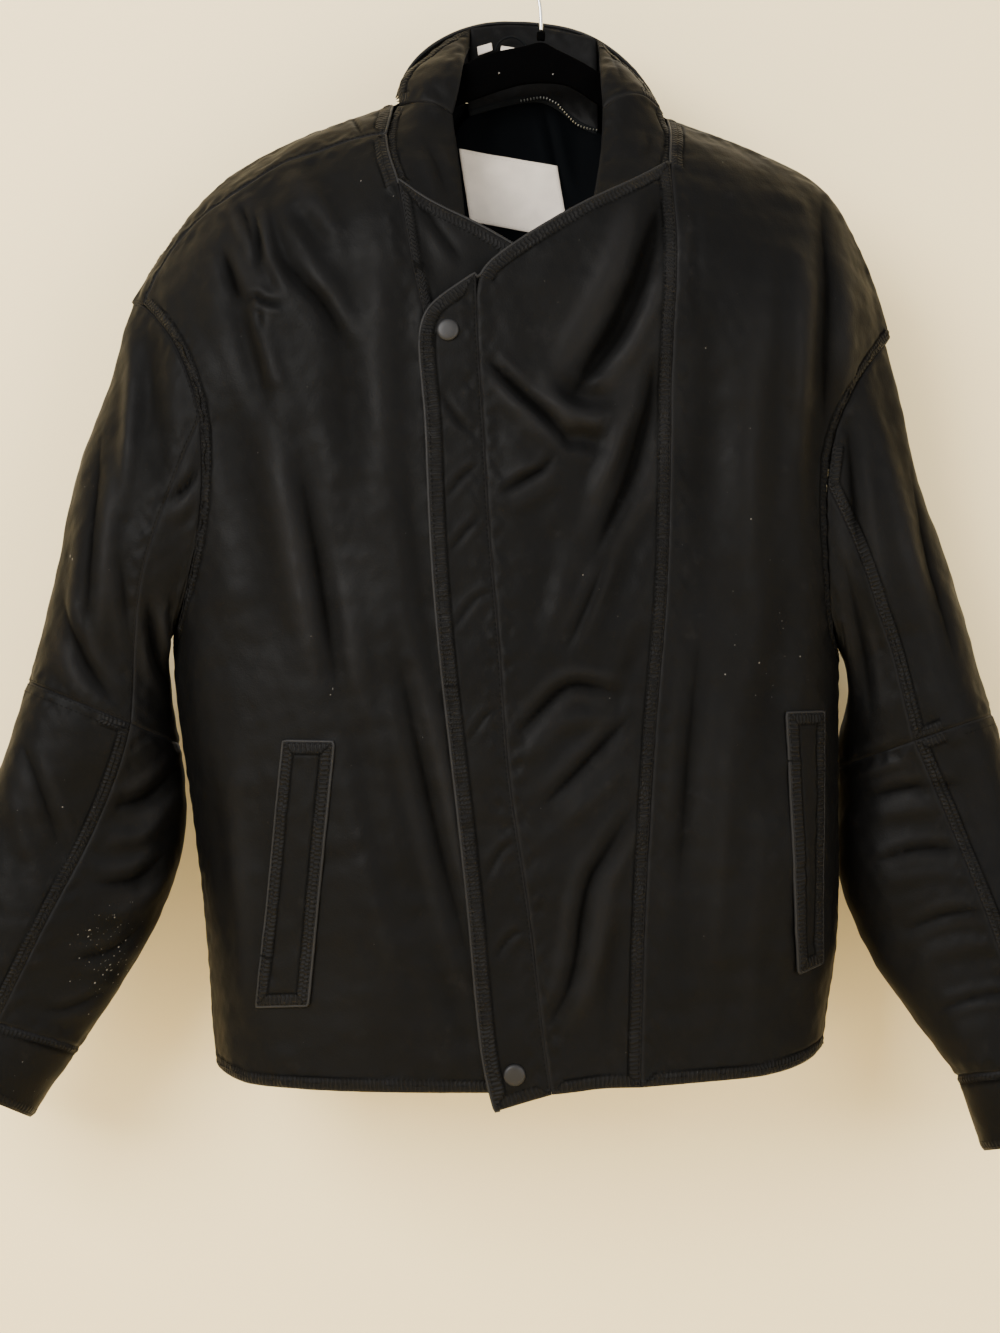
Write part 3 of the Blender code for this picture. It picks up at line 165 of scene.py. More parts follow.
# Creases in the front view: kind, half width in pixels, height in millimetres, points
FRONT_CREASES = (
    ("crease", 3, 1.6, ((350, 114), (357, 126), (364, 138))),
    ("crease", 6, 1.2, ((424, 140), (436, 164), (448, 196))),
    ("crease", 5, 1.0, ((432, 84), (440, 98), (446, 116))),
    ("crease", 5, 1.0, ((646, 128), (650, 142), (646, 160))),
    ("crease", 5, 1.0, ((604, 44), (616, 62), (624, 84))),
    ("crease", 5, 2.6, ((240, 204), (245, 216), (249, 228), (253, 242))),
    ("crease", 5, 3.0, ((253, 208), (257, 226), (259, 246), (259, 268))),
    ("ridge", 6, 2.0, ((262, 210), (267, 238), (275, 262), (286, 292))),
    ("crease", 6, 2.4, ((222, 248), (229, 272), (238, 298))),
    ("valley", 12, 3.4, ((221, 252), (237, 300), (250, 350), (262, 410))),
    ("ridge", 9, 2.0, ((250, 312), (262, 346), (276, 392))),
    ("crease", 4, 2.6, ((248, 302), (257, 297), (265, 302), (284, 305))),
    ("crease", 4, 1.6, ((261, 306), (261, 318), (262, 330))),
    ("ridge", 12, 2.2, ((287, 168), (310, 198), (340, 240))),
    ("valley", 9, 1.8, ((300, 210), (316, 232), (330, 252))),
    ("valley", 10, 2.6, ((268, 200), (276, 240), (298, 274), (324, 306), (352, 360))),
    ("crease", 6, 1.8, ((280, 256), (300, 278), (324, 306), (344, 344))),
    ("ridge", 13, 1.8, ((300, 262), (330, 296), (360, 350))),
    ("valley", 15, 2.6, ((334, 300), (346, 380), (352, 470), (354, 560))),
    ("ridge", 14, 2.0, ((372, 210), (378, 320), (384, 450))),
    ("valley", 7, 1.8, ((400, 196), (408, 250), (414, 310))),
    ("valley", 16, 2.4, ((226, 400), (246, 500), (268, 640))),
    ("ridge", 14, 2.2, ((266, 420), (288, 520), (310, 660))),
    ("crease", 9, 1.8, ((300, 470), (318, 570), (336, 690))),
    ("valley", 14, 2.0, ((300, 420), (322, 540), (340, 700))),
    ("ridge", 12, 1.8, ((338, 560), (352, 640), (366, 740))),
    ("crease", 9, 2.0, ((398, 655), (420, 760), (440, 850), (471, 968))),
    ("ridge", 10, 1.8, ((410, 620), (438, 740), (458, 850), (476, 960))),
    ("valley", 10, 1.8, ((402, 430), (418, 560), (436, 700))),
    ("ridge", 11, 1.4, ((352, 760), (372, 870), (398, 1000))),
    ("valley", 12, 1.8, ((352, 700), (366, 800), (388, 920))),
    ("valley", 10, 1.4, ((420, 920), (446, 990), (474, 1066))),
    ("valley", 13, 2.0, ((206, 760), (218, 880), (230, 1000))),
    ("ridge", 12, 1.6, ((236, 740), (240, 880), (246, 1010))),
    ("crease", 15, 6.2, ((658, 206), (650, 240), (638, 280), (618, 324), (594, 362), (574, 392))),
    ("ridge", 9, 3.0, ((663, 262), (650, 304), (630, 344), (606, 374), (588, 392))),
    ("ridge", 16, 1.6, ((630, 214), (606, 264), (580, 310), (556, 350))),
    ("crease", 6, 3.6, ((485, 357), (500, 372), (520, 392), (546, 415), (569, 441))),
    ("ridge", 9, 2.0, ((480, 376), (504, 398), (530, 424), (556, 448))),
    ("ridge", 9, 2.2, ((540, 366), (552, 394), (576, 416), (604, 428))),
    ("valley", 10, 3.4, ((560, 440), (578, 437), (604, 441))),
    ("valley", 9, 2.8, ((558, 384), (580, 394), (620, 398))),
    ("crease", 5, 2.4, ((501, 493), (522, 480), (540, 470), (555, 455))),
    ("ridge", 8, 1.4, ((506, 512), (532, 496), (560, 476))),
    ("crease", 11, 4.0, ((654, 362), (650, 400), (640, 440), (628, 480), (608, 524), (596, 552))),
    ("ridge", 8, 2.6, ((624, 418), (614, 446), (602, 474), (588, 504))),
    ("valley", 12, 2.4, ((648, 500), (632, 550), (612, 604), (594, 650))),
    ("crease", 6, 1.8, ((606, 556), (586, 606), (566, 650))),
    ("ridge", 10, 1.6, ((572, 540), (558, 600), (544, 650))),
    ("crease", 7, 2.6, ((515, 737), (540, 710), (571, 685), (616, 692))),
    ("ridge", 9, 1.8, ((520, 764), (560, 726), (606, 716))),
    ("crease", 7, 2.4, ((541, 808), (580, 768), (631, 715))),
    ("ridge", 9, 1.6, ((548, 838), (588, 800), (632, 756))),
    ("crease", 8, 2.4, ((634, 806), (608, 850), (588, 884), (571, 981), (543, 1037))),
    ("ridge", 10, 1.8, ((644, 820), (616, 870), (600, 940), (576, 1020))),
    ("valley", 9, 1.6, ((650, 620), (622, 690), (604, 744))),
    ("valley", 8, 1.4, ((622, 920), (610, 990), (604, 1060))),
    ("valley", 7, 1.2, ((690, 180), (696, 260), (698, 340))),
    ("valley", 14, 2.2, ((712, 250), (704, 420), (700, 620))),
    ("ridge", 15, 2.2, ((768, 240), (752, 400), (744, 600))),
    ("crease", 9, 2.6, ((822, 196), (828, 250), (829, 320), (828, 424))),
    ("valley", 13, 2.4, ((818, 220), (822, 320), (822, 430), (818, 560))),
    ("ridge", 10, 2.0, ((800, 230), (802, 340), (800, 470))),
    ("valley", 14, 1.8, ((792, 560), (776, 660), (764, 790))),
    ("ridge", 14, 1.6, ((730, 640), (722, 800), (716, 980))),
    ("crease", 9, 1.4, ((700, 640), (688, 760), (680, 880))),
    ("valley", 14, 1.4, ((688, 700), (680, 860), (676, 1010))),
    ("ridge", 12, 1.2, ((760, 820), (752, 920), (750, 1030))),
    ("crease", 6, 2.0, ((422, 206), (440, 232), (462, 262))),
    ("valley", 9, 1.6, ((412, 216), (424, 246), (434, 284))),
    ("crease", 4, 1.4, ((441, 392), (458, 420), (474, 434))),
    ("crease", 4, 1.4, ((446, 498), (462, 476), (482, 462))),
    ("crease", 4, 1.4, ((449, 552), (468, 528), (486, 512))),
    ("crease", 4, 1.2, ((452, 630), (474, 600), (494, 590))),
    ("crease", 4, 1.2, ((470, 740), (486, 716), (504, 704))),
    ("crease", 4, 1.2, ((486, 880), (502, 850), (520, 838))),
    ("crease", 4, 1.2, ((494, 960), (512, 936), (532, 930))),
)
SLEEVE_CREASES = (
    ("valley", 14, 4.2, ((153, 322), (149, 380), (154, 440), (160, 500))),
    ("ridge", 7, 2.8, ((132, 322), (133, 380), (129, 440), (122, 510))),
    ("crease", 8, 4.0, ((147, 604), (151, 628), (158, 659), (170, 684))),
    ("ridge", 7, 2.6, ((158, 604), (164, 640), (173, 672))),
    ("crease", 6, 3.0, ((202, 466), (184, 489), (168, 497), (155, 505))),
    ("ridge", 8, 1.8, ((198, 492), (182, 508), (160, 520))),
    ("crease", 7, 2.4, ((60, 600), (84, 660), (112, 700))),
    ("ridge", 10, 2.0, ((50, 640), (80, 690), (118, 716))),
    ("crease", 8, 2.2, ((100, 430), (92, 530), (84, 640))),
    ("ridge", 10, 1.8, ((114, 440), (106, 540), (102, 640))),
    ("valley", 10, 2.0, ((76, 460), (66, 560), (52, 650))),
    ("crease", 6, 1.8, ((120, 560), (126, 610), (134, 660))),
    ("crease", 8, 3.0, ((180, 764), (150, 796), (112, 808))),
    ("ridge", 9, 2.2, ((178, 800), (146, 832), (104, 842))),
    ("crease", 8, 2.4, ((170, 850), (140, 878), (96, 884))),
    ("ridge", 8, 1.6, ((166, 880), (136, 908), (92, 914))),
    ("crease", 7, 1.8, ((20, 740), (44, 800), (60, 850))),
    ("ridge", 9, 1.4, ((8, 780), (26, 840), (44, 890))),
    ("crease", 6, 1.8, ((144, 924), (112, 950), (70, 960))),
    ("crease", 5, 1.4, ((104, 990), (70, 1008), (44, 1010))),
    ("crease", 8, 2.8, ((848, 420), (856, 520), (872, 620))),
    ("ridge", 10, 2.0, ((884, 420), (900, 520), (922, 620))),
    ("crease", 7, 2.2, ((912, 470), (930, 560), (956, 660))),
    ("valley", 10, 2.2, ((874, 350), (896, 430), (908, 500))),
    ("crease", 6, 2.2, ((844, 560), (862, 640), (872, 720))),
    ("crease", 6, 2.8, ((848, 770), (874, 758), (912, 745))),
    ("crease", 6, 2.0, ((860, 800), (904, 788), (960, 784))),
    ("ridge", 8, 1.8, ((866, 818), (912, 808), (966, 808))),
    ("crease", 6, 2.0, ((872, 862), (920, 848), (972, 850))),
    ("ridge", 8, 1.4, ((880, 884), (926, 872), (978, 872))),
    ("crease", 6, 1.8, ((906, 930), (948, 914), (996, 910))),
    ("ridge", 9, 1.4, ((918, 960), (960, 946), (1010, 940))),
    ("crease", 5, 1.6, ((938, 1010), (972, 998), (1020, 990))),
)
BACK_CREASES = (
    ("valley", 20, 2.4, ((250, 240), (290, 420), (310, 640))),
    ("ridge", 20, 2.2, ((300, 230), (340, 430), (356, 690))),
    ("valley", 22, 2.0, ((400, 260), (412, 520), (420, 800))),
    ("ridge", 20, 1.8, ((470, 200), (480, 420), (486, 700))),
    ("valley", 22, 2.2, ((560, 230), (556, 480), (548, 760))),
    ("ridge", 20, 2.0, ((640, 240), (628, 460), (616, 720))),
    ("valley", 18, 2.2, ((740, 250), (716, 440), (700, 660))),
    ("ridge", 18, 2.0, ((790, 300), (772, 470), (760, 700))),
    ("valley", 14, 2.4, ((200, 420), (236, 520), (252, 640))),
    ("valley", 14, 2.4, ((800, 420), (786, 520), (776, 640))),
    ("valley", 18, 1.6, ((260, 760), (280, 900), (300, 1030))),
    ("ridge", 18, 1.4, ((420, 840), (440, 940), (450, 1050))),
    ("valley", 18, 1.6, ((640, 800), (630, 920), (628, 1040))),
    ("ridge", 16, 1.4, ((740, 760), (736, 900), (730, 1030))),
    ("valley", 9, 2.0, ((60, 600), (100, 660), (150, 690))),
    ("valley", 9, 1.8, ((0, 780), (60, 800), (140, 800))),
    ("valley", 9, 1.6, ((-20, 860), (40, 880), (120, 880))),
    ("valley", 9, 2.0, ((860, 640), (910, 680), (970, 690))),
    ("valley", 9, 1.8, ((860, 780), (920, 790), (990, 780))),
    ("valley", 9, 1.6, ((880, 880), (940, 880), (1010, 860))),
)
LINING_CREASES = (
    ("crease", 5, 2.0, ((541, 98), (551, 135), (557, 164), (568, 200))),
    ("valley", 12, 2.0, ((490, 100), (484, 140), (480, 200))),
    ("ridge", 12, 2.0, ((588, 110), (600, 150), (596, 200))),
)
# The zip's teeth in the front view
TEETH = ((521, 101), (543, 98), (555, 102), (564, 112), (576, 124), (584, 128), (600, 131))
# Specks of dust and scuffs: piece, middle, spread in pixels, count, least and greatest radius
SPECKS = (
    ("right_forearm_inner", (110, 958), (20, 28), 100, 0.0002, 0.0008),
    ("right_front", (332, 693), (1.6, 2.4), 3, 0.0004, 0.0010),
    ("right_forearm_outer", (70, 900), (44, 60), 22, 0.0002, 0.0006),
    ("right_sleeve_top", (74, 558), (2, 2), 2, 0.0010, 0.0016),
    ("right_sleeve_top", (80, 480), (36, 90), 12, 0.0002, 0.0006),
    ("right_front", (320, 640), (90, 280), 26, 0.0002, 0.0006),
    ("left_centre_front", (590, 760), (50, 260), 16, 0.0002, 0.0005),
    ("left_side_front", (770, 640), (26, 40), 14, 0.0003, 0.0009),
    ("left_side_front", (740, 560), (60, 260), 24, 0.0002, 0.0006),
    ("left_forearm_outer", (950, 860), (30, 90), 12, 0.0002, 0.0006),
    ("right_cuff", (40, 1080), (24, 16), 8, 0.0002, 0.0006),
    ("hanger_arms", (498, 75), (1, 1), 1, 0.0007, 0.0008),
    ("hanger_arms", (554, 73), (1, 1), 1, 0.0007, 0.0008),
)
# Lines in the front view, for the edges that are sewn; left and right are the viewer's
PRINCESS = ((670, 160), (678, 244), (675, 312), (672, 358), (671, 464), (667, 598), (655, 739),
            (650, 828), (645, 917), (643, 989), (641, 1088))
FLAP_EDGE = ((418, 339), (421, 372), (425, 402), (427, 453), (431, 545), (439, 649), (454, 781),
             (468, 910), (480, 1042), (489, 1096), (495, 1112))
FLAP_CORNER = ((418, 339), (419, 327), (422, 311), (431, 302), (445, 292), (465, 280), (476, 272))
CENTRE_FREE_EDGE = ((476, 272), (502, 251), (523, 236), (543, 224), (572, 208), (596, 195),
                    (625, 183), (645, 173), (670, 160))
SIDE_FREE_EDGE = ((668, 118), (673, 132), (673, 147), (670, 160))
PLACKET_SEAM = ((476, 272), (477, 321), (484, 433), (490, 535), (500, 649), (507, 756), (516, 828),
                (525, 881), (536, 971), (543, 1035), (552, 1095))
STRIP_EDGE = ((143, 304), (155, 276), (169, 251), (190, 227), (210, 207), (241, 191), (278, 162),
              (320, 152), (363, 134), (385, 133))
STRIP_NECK = ((392, 104), (387, 120), (385, 133))
LEFT_ARMHOLE = ((143, 304), (172, 336), (186, 364), (197, 401), (202, 437), (202, 476),
                (200, 518), (192, 560), (180, 615), (172, 642))
LEFT_ARMHOLE_BACK = ((131, 302), (160, 345), (178, 400), (184, 460), (184, 520), (180, 580),
                     (172, 642))
RIGHT_ARMHOLE = ((891, 338), (862, 375), (842, 410), (831, 450), (827, 500), (828, 560),
                 (832, 620), (838, 650))
RIGHT_ARMHOLE_BACK = ((891, 338), (866, 375), (845, 420), (828, 470), (822, 520), (824, 580),
                      (830, 625), (838, 650))
LEFT_HEM = ((217, 1066), (225, 1075), (239, 1083), (260, 1086), (327, 1091), (407, 1093),
            (506, 1093))
RIGHT_HEM = ((641, 1088), (720, 1081), (760, 1077), (790, 1070), (812, 1059), (822, 1047))
PLACKET_HEM = ((495, 1112), (518, 1105), (552, 1095))
CENTRE_HEM = ((552, 1095), (579, 1092), (600, 1089), (641, 1088))
BACK_HEM = ((217, 1066), (240, 1080), (330, 1087), (530, 1090), (720, 1079), (800, 1066),
            (822, 1047))
LEFT_FREE_EDGE = ((398, 178), (431, 202), (462, 215), (488, 228), (512, 243), (534, 256))
LEFT_FREE_SIDE = ((385, 133), (387, 153), (398, 178))
UNDER_SEAM = ((398, 178), (406, 223), (412, 264), (420, 304), (434, 345))
COLLAR_EDGE = ((391, 95), (391, 87), (406, 65), (425, 53), (441, 37), (462, 26), (500, 22),
               (537, 24), (576, 30), (597, 34), (610, 45), (643, 77), (657, 94))
LEFT_LENGTH_SEAM = ((125, 722), (115, 753), (110, 778), (94, 804), (82, 835), (71, 860),
                    (61, 886), (48, 909), (38, 934), (28, 961), (16, 991), (3, 1014))
RIGHT_LENGTH_SEAM = ((835, 470), (840, 522), (856, 568), (872, 608), (886, 656), (902, 696),
                     (919, 742))
RIGHT_LENGTH_LOWER = ((919, 742), (934, 781), (952, 826), (967, 868), (988, 916), (1000, 943),
                      (1015, 1000), (1030, 1066))
LEFT_FACING = ((398, 106), (390, 116), (384, 134), (384, 155), (395, 184))
RIGHT_FACING = ((662, 110), (665, 121), (674, 134), (678, 147), (676, 159), (672, 171))

# Sewn edges: piece, line (none for the whole border), how near the border is to it in pixels,
# width of the puckered seam allowance and the stitch rows' distances from the edge, in metres
SEWN = (
    ("left_centre_front", PRINCESS, 8, 0.0086, (0.0018, 0.0080)),
    ("left_placket", FLAP_EDGE, 8, 0.0100, (0.0026, 0.0104)),
    ("left_placket", FLAP_CORNER, 6, 0.0086, (0.0088,)),
    ("left_centre_front", CENTRE_FREE_EDGE, 6, 0.0086, (0.0088,)),
    ("left_side_front", SIDE_FREE_EDGE, 6, 0.0086, (0.0088,)),
    ("left_placket", PLACKET_SEAM, 8, 0.0, (0.0017,)),
    ("left_placket", PLACKET_HEM, 6, 0.0086, (0.0088,)),
    ("left_centre_front", CENTRE_HEM, 6, 0.0086, (0.0088,)),
    ("right_front", LEFT_ARMHOLE, 8, 0.0075, (0.0016, 0.0070)),
    ("left_side_front", RIGHT_ARMHOLE, 8, 0.0075, (0.0016, 0.0070)),
    ("shoulder_strip", STRIP_EDGE, 6, 0.0, (0.0016,)),
    ("shoulder_strip", STRIP_NECK, 6, 0.0086, (0.0088,)),
    ("right_front", LEFT_FREE_SIDE, 6, 0.0086, (0.0088,)),
    ("right_front", LEFT_HEM, 8, 0.0086, (0.0088,)),
    ("left_side_front", RIGHT_HEM, 8, 0.0086, (0.0088,)),
    ("right_underlap", LEFT_FREE_EDGE, 6, 0.0086, (0.0088,)),
    ("right_underlap", UNDER_SEAM, 6, 0.0070, (0.0015, 0.0065)),
    ("back", BACK_HEM, 8, 0.0086, (0.0088,)),
    ("back", LEFT_ARMHOLE_BACK, 8, 0.0075, (0.0016, 0.0070)),
    ("back", RIGHT_ARMHOLE_BACK, 8, 0.0075, (0.0016, 0.0070)),
    ("collar", COLLAR_EDGE, 8, 0.0086, (0.0088,)),
    ("collar_facing_right", ((470, 28), (444, 40), (428, 56), (409, 67), (395, 88), (398, 106)), 8,
     0.0086, (0.0088,)),
    ("collar_facing_left", ((597, 38), (608, 49), (640, 79), (654, 95), (662, 110)), 8,
     0.0086, (0.0088,)),
    ("front_facing_right", LEFT_FACING, 8, 0.0086, (0.0088,)),
    ("front_facing_left", RIGHT_FACING, 8, 0.0086, (0.0088,)),
    ("right_sleeve_top", None, 0, 0.0, (0.0016,)),
    ("right_forearm_outer", LEFT_LENGTH_SEAM, 26, 0.0080, (0.0016, 0.0078)),
    ("right_forearm_outer", ((0, 672), (27, 681), (56, 694), (84, 707), (112, 720)), 10, 0.0,
     (0.0016, 0.0070)),
    ("right_cuff", None, 0, 0.0060, (0.0022, 0.0066)),
    ("left_sleeve_top", RIGHT_LENGTH_SEAM, 26, 0.0080, (0.0016, 0.0078)),
    ("left_forearm_outer", RIGHT_LENGTH_LOWER, 26, 0.0080, (0.0016, 0.0078)),
    ("left_forearm_outer", ((922, 746), (955, 740), (992, 724)), 12, 0.0, (0.0016, 0.0070)),
    ("left_cuff", None, 0, 0.0060, (0.0022, 0.0066)),
    ("right_pocket_welt", None, 0, 0.0082, (0.0014, 0.0084)),
    ("left_pocket_welt", None, 0, 0.0082, (0.0014, 0.0084)),
)
# Beaded edges: piece, line in the front view, nearness in pixels
BEADED = (
    ("left_placket", FLAP_EDGE, 6),
    ("left_placket", FLAP_CORNER, 5),
    ("left_centre_front", CENTRE_FREE_EDGE, 5),
    ("left_side_front", SIDE_FREE_EDGE, 5),
    ("right_underlap", LEFT_FREE_EDGE, 5),
    ("right_front", LEFT_FREE_SIDE, 5),
    ("shoulder_strip", STRIP_NECK, 5),
    ("collar", COLLAR_EDGE, 6),
    ("right_pocket_welt", None, 0),
    ("left_pocket_welt", None, 0),
)

# Points on a line in the front view when it is compared with a border or laid on a piece
LINE_SAMPLES = 60
# Fewest points of a row of stitches and of a length of bead, less one
ROW_LEAST = 4
BEAD_LEAST = 5
# How near the ends of two lengths of bead are where they become one, and how deep the bead sits
BEAD_GAP = 0.006
BEAD_SINK = 0.0006
BEAD_PITCH = 0.003
BEAD_SIDES = 8
# How far stitches, the zip's teeth and specks stand off what they lie on
STITCH_LIFT = 0.00012
TOOTH_LIFT = 0.0006
SPECK_LIFT = 0.00015
# Sides and seed of the specks
SPECK_SIDES = 6
SPECK_SEED = 41
# The label's seam: how far inside its edge, and its stitches; the zip's teeth
LABEL_SEAM = 0.0022
LABEL_STITCH = {"Pitch": 0.0028, "Length": 0.0020, "Thickness": 0.0004}
TOOTH = {"Pitch": 0.0024, "Length": 0.0013, "Thickness": 0.0024}

# Snap caps: node and middle in the front view; radius, height and lift; profile from the top's
# middle outwards as shares of radius and height
SNAPS = (("collar_snap", 448.0, 330.0), ("hem_snap", 514.5, 1075.0))
SNAP_RADIUS = 0.0076
SNAP_HEIGHT = 0.0026
SNAP_LIFT = 0.0003
SNAP_SIDES = 48
SNAP_PROFILE = ((0.25, 1.00), (0.50, 0.97), (0.72, 0.90), (0.86, 0.78), (0.95, 0.58), (1.00, 0.30),
                (1.00, 0.00), (0.94, -0.25))

# Hanger and hang loop: node, finish and subdivision levels
HANGER = (("hanger_arms", "flock", 2), ("hanger_ferrule", "flock", 1), ("hanger_hook", "steel", 2),
          ("hang_loop", "tape", 2))
HANGER_ANGLE = 0.7

# Leather: noise scale, detail and roughness of its blotches, scuffs, dull spots, dents, wrinkles
BLOTCH = (7.0, 5.0, 0.6)
SCUFF = (42.0, 6.0, 0.65)
DULL = (26.0, 5.0, 0.6)
DENT = (38.0, 4.0, 0.55)
WRINKLE = (130.0, 6.0, 0.65)
# Ranges: least and greatest noise, wear or rib, and what they become there, which is a share of
# the next colour or, for a crease, added roughness; rubbed ridges are also a painted highlight,
# the shade range is painted shade in creases, folds and trenches, the rib range a painted
# highlight on rib crests
BLOTCH_RANGE = (0.35, 0.70, 0.0, 1.0)
RUBBED_AND_HIGHLIGHT_RANGE = (0.05, 1.0, 0.0, 0.60)
SHADE_RANGE = (-1.0, 0.0, 0.0, 1.0)
SCUFF_RANGE = (0.62, 0.80, 0.0, 0.35)
RIB_HIGHLIGHT_RANGE = (0.25, 1.0, 0.0, 0.24)
CREASED_RANGE = (-0.9, 0.0, 0.40, 0.0)
# Dull spots: range of their noise, and how far the roughness goes below and above its own value
DULL_RANGE = (0.3, 0.7)
DULL_SPREAD = (0.07, 0.10)
# Blotches, and the painted shade at the bottoms of creases, as shares of the leather's colour
BLOTCH_LIFT = 1.45
SHADE_LIFT = 0.15
# Bumps: distance and strength
DENT_BUMP = (0.0012, 0.35)
WRINKLE_BUMP = (0.0007, 0.40)
RIB_BUMP = (0.00035, 0.7)
PEBBLE_BUMP = (0.00018, 0.40)
# Leathers: finish, name, shares of the colour and of the rubbed colour, added roughness, share
# of the gloss
LEATHERS = (
    ("leather", "worn_leather", 1.0, 1.0, 0.0, 1.0),
    ("facing", "facing_leather", 1.05, 1.0, 0.03, 1.0),
    ("piping", "edge_bead", 5.0, 2.6, -0.05, 1.6),
)
# Ribs across a seam band: pitch, and how much noise of this scale and detail bends them
RIB_PITCH = 0.0031
RIB_WAVER = 0.0030
RIB_NOISE = (90.0, 2.0)
# Even materials: noise scale and detail of their tone, its range, share of the colour where it
# is lightest, detail and strength of the grain
TONE = (60.0, 3.0)
TONE_RANGE = (0.3, 0.7, 0.0, 1.0)
TONE_LIFT = 1.18
GRAIN_DETAIL = 2.0
GRAIN_STRENGTH = 0.5
# Name, colour, roughness, metallic, gloss, scale and depth of the grain
PLAIN = {
    "lining": ("lining_cloth", (0.0008, 0.0011, 0.0015), 0.60, 0.0, 0.015, 1400.0, 0.0002),
    "satin": ("label_satin", (0.52, 0.465, 0.40), 0.50, 0.0, 0.25, 1600.0, 0.0001),
    "tape": ("zip_tape", (0.004, 0.0045, 0.005), 0.85, 0.0, 0.05, 1500.0, 0.0003),
    "flock": ("flocked_hanger", (0.0007, 0.0007, 0.0008), 0.95, 0.0, 0.01, 2200.0, 0.0004),
    "steel": ("hook_steel", (0.62, 0.62, 0.61), 0.22, 1.0),
    "gunmetal": ("snap_metal", (0.020, 0.020, 0.021), 0.45, 0.5),
    "teeth": ("zip_metal", (0.50, 0.49, 0.45), 0.30, 1.0),
    "thread": ("black_thread", (0.0022, 0.0022, 0.0022), 0.80, 0.0, 0.05),
    "pale_thread": ("pale_thread", (0.42, 0.38, 0.33), 0.60),
    "dust": ("dust", (0.105, 0.10, 0.092), 0.9),
}

# Stage, in metres: the wall's depth, the floor's height, and how far both reach
WALL_DEPTH = 0.13
FLOOR_HEIGHT = -1.3
STAGE_SIDE = 3
STAGE_FRONT = -4
STAGE_TOP = 2.2
STAGE_ROUGHNESS = 0.6
WORLD_COLOUR = (1.0, 0.985, 0.965, 1.0)
WORLD_STRENGTH = 1.15
# Lights: name, place, target, size, share of the main light's power, colour
LIGHTS = (
    ("key", (-1.5, -2.3, 0.5), (0.0, 0.0, -0.50), (1.5, 1.5), 2.2, (1.0, 0.98, 0.95)),
    ("fill", (1.8, -2.4, -0.3), (0.0, 0.0, -0.6), (1.8, 1.8), 0.8, (1.0, 0.97, 0.93)),
    ("rear", (0.4, 2.6, 1.2), (0.0, 0.0, -0.4), (2.0, 2.0), 1.6, (1.0, 0.98, 0.95)),
)


def place_object(name, data):
    """A new object at the scene's origin."""
    item = bpy.data.objects.new(name, data)
    bpy.context.scene.collection.objects.link(item)
    return item


def solid_shape(name):
    """A CAD node's solid, with its doubled points merged."""
    shape = bmesh.new()
    shape.from_mesh(NODES[name].data)
    bmesh.ops.remove_doubles(shape, verts=shape.verts, dist=MERGE)
    return shape


def shape_mesh(name, shape):
    """The mesh of a shape, which is let go."""
    mesh = bpy.data.meshes.new(name)
    shape.to_mesh(mesh)
    shape.free()
    return mesh


def make_quads(shape, angle):
    """Joins the triangles that lie in one face within an angle."""
    bmesh.ops.join_triangles(shape, faces=shape.faces, angle_face_threshold=angle,
                             angle_shape_threshold=math.pi)


def ring(middle, normal, count, radius, turn=0.0, stretch=1.0):
    """Places round a normal."""
    side = normal.orthogonal().normalized()
    other = normal.cross(side)
    angles = (2.0 * math.pi * step / count + turn for step in range(count))
    return [middle + (side * math.cos(angle) + other * math.sin(angle) * stretch) * radius
            for angle in angles]


def smooth_curve(points, samples):
    """Places along a smooth curve that passes through the points."""
    knots = np.asarray(points, dtype=float)
    chord = np.linalg.norm(np.diff(knots, axis=0), axis=1)
    at = np.concatenate(([0.0], np.cumsum(chord)))
    slopes = np.empty_like(knots)
    slopes[0] = (knots[1] - knots[0]) / chord[0]
    slopes[-1] = (knots[-1] - knots[-2]) / chord[-1]
    if len(knots) > 2:
        slopes[1:-1] = (knots[2:] - knots[:-2]) / (at[2:] - at[:-2])[:, None]
    here = np.linspace(0.0, at[-1], samples)
    span = np.clip(np.searchsorted(at, here, side="right") - 1, 0, len(knots) - 2)
    width = (at[span + 1] - at[span])[:, None]
    x = (here - at[span])[:, None] / width
    return (knots[span] * (2 * x**3 - 3 * x**2 + 1) + slopes[span] * width * (x**3 - 2 * x**2 + x)
            + knots[span + 1] * (3 * x**2 - 2 * x**3) + slopes[span + 1] * width * (x**3 - x**2))


def smooth_step(x):
    """Rises softly from 0 to 1."""
    x = np.clip(x, 0.0, 1.0)
    return x * x * (3.0 - 2.0 * x)


def front_view(points):
    """The u, v of places in metres."""
    scale = PIXEL_SIZE * (1.0 + points[:, 1] / EYE_DISTANCE)
    return np.column_stack((VIEW_CENTRE[0] + (points[:, 0] - EYE_X) / scale,
                            VIEW_CENTRE[1] - (points[:, 2] - EYE_Z) / scale))


def line_distance(places, line):
    """Distance from a line, and the share along it of the nearest point."""
    start, step = line[:-1], np.diff(line, axis=0)
    length = np.linalg.norm(step, axis=1)
    along = np.concatenate(([0.0], np.cumsum(length)))
    best = np.full(len(places), np.inf)
    share = np.zeros(len(places))
    for index in range(len(step)):
        off = places - start[index]
        t = np.clip(off @ step[index] / length[index] ** 2, 0.0, 1.0)
        apart = off - t[:, None] * step[index]
        distance = np.hypot(apart[:, 0], apart[:, 1])
        closer = distance < best
        best[closer] = distance[closer]
        share[closer] = ((along[index] + t * length[index]) / along[-1])[closer]
    return best, share


def ripples(points, size, seed, waves=16):
    """Soft random height around zero with features of one size."""
    random = np.random.default_rng(seed)
    total = np.zeros(len(points))
    for _ in range(waves):
        direction = random.normal(size=3)
        direction /= np.linalg.norm(direction)
        pitch = 2.0 * math.pi / (size * random.uniform(*RIPPLE_RANGE))
        total += np.cos(points @ direction * pitch + random.uniform(0.0, 2.0 * math.pi))
    return total / math.sqrt(waves / 2.0)


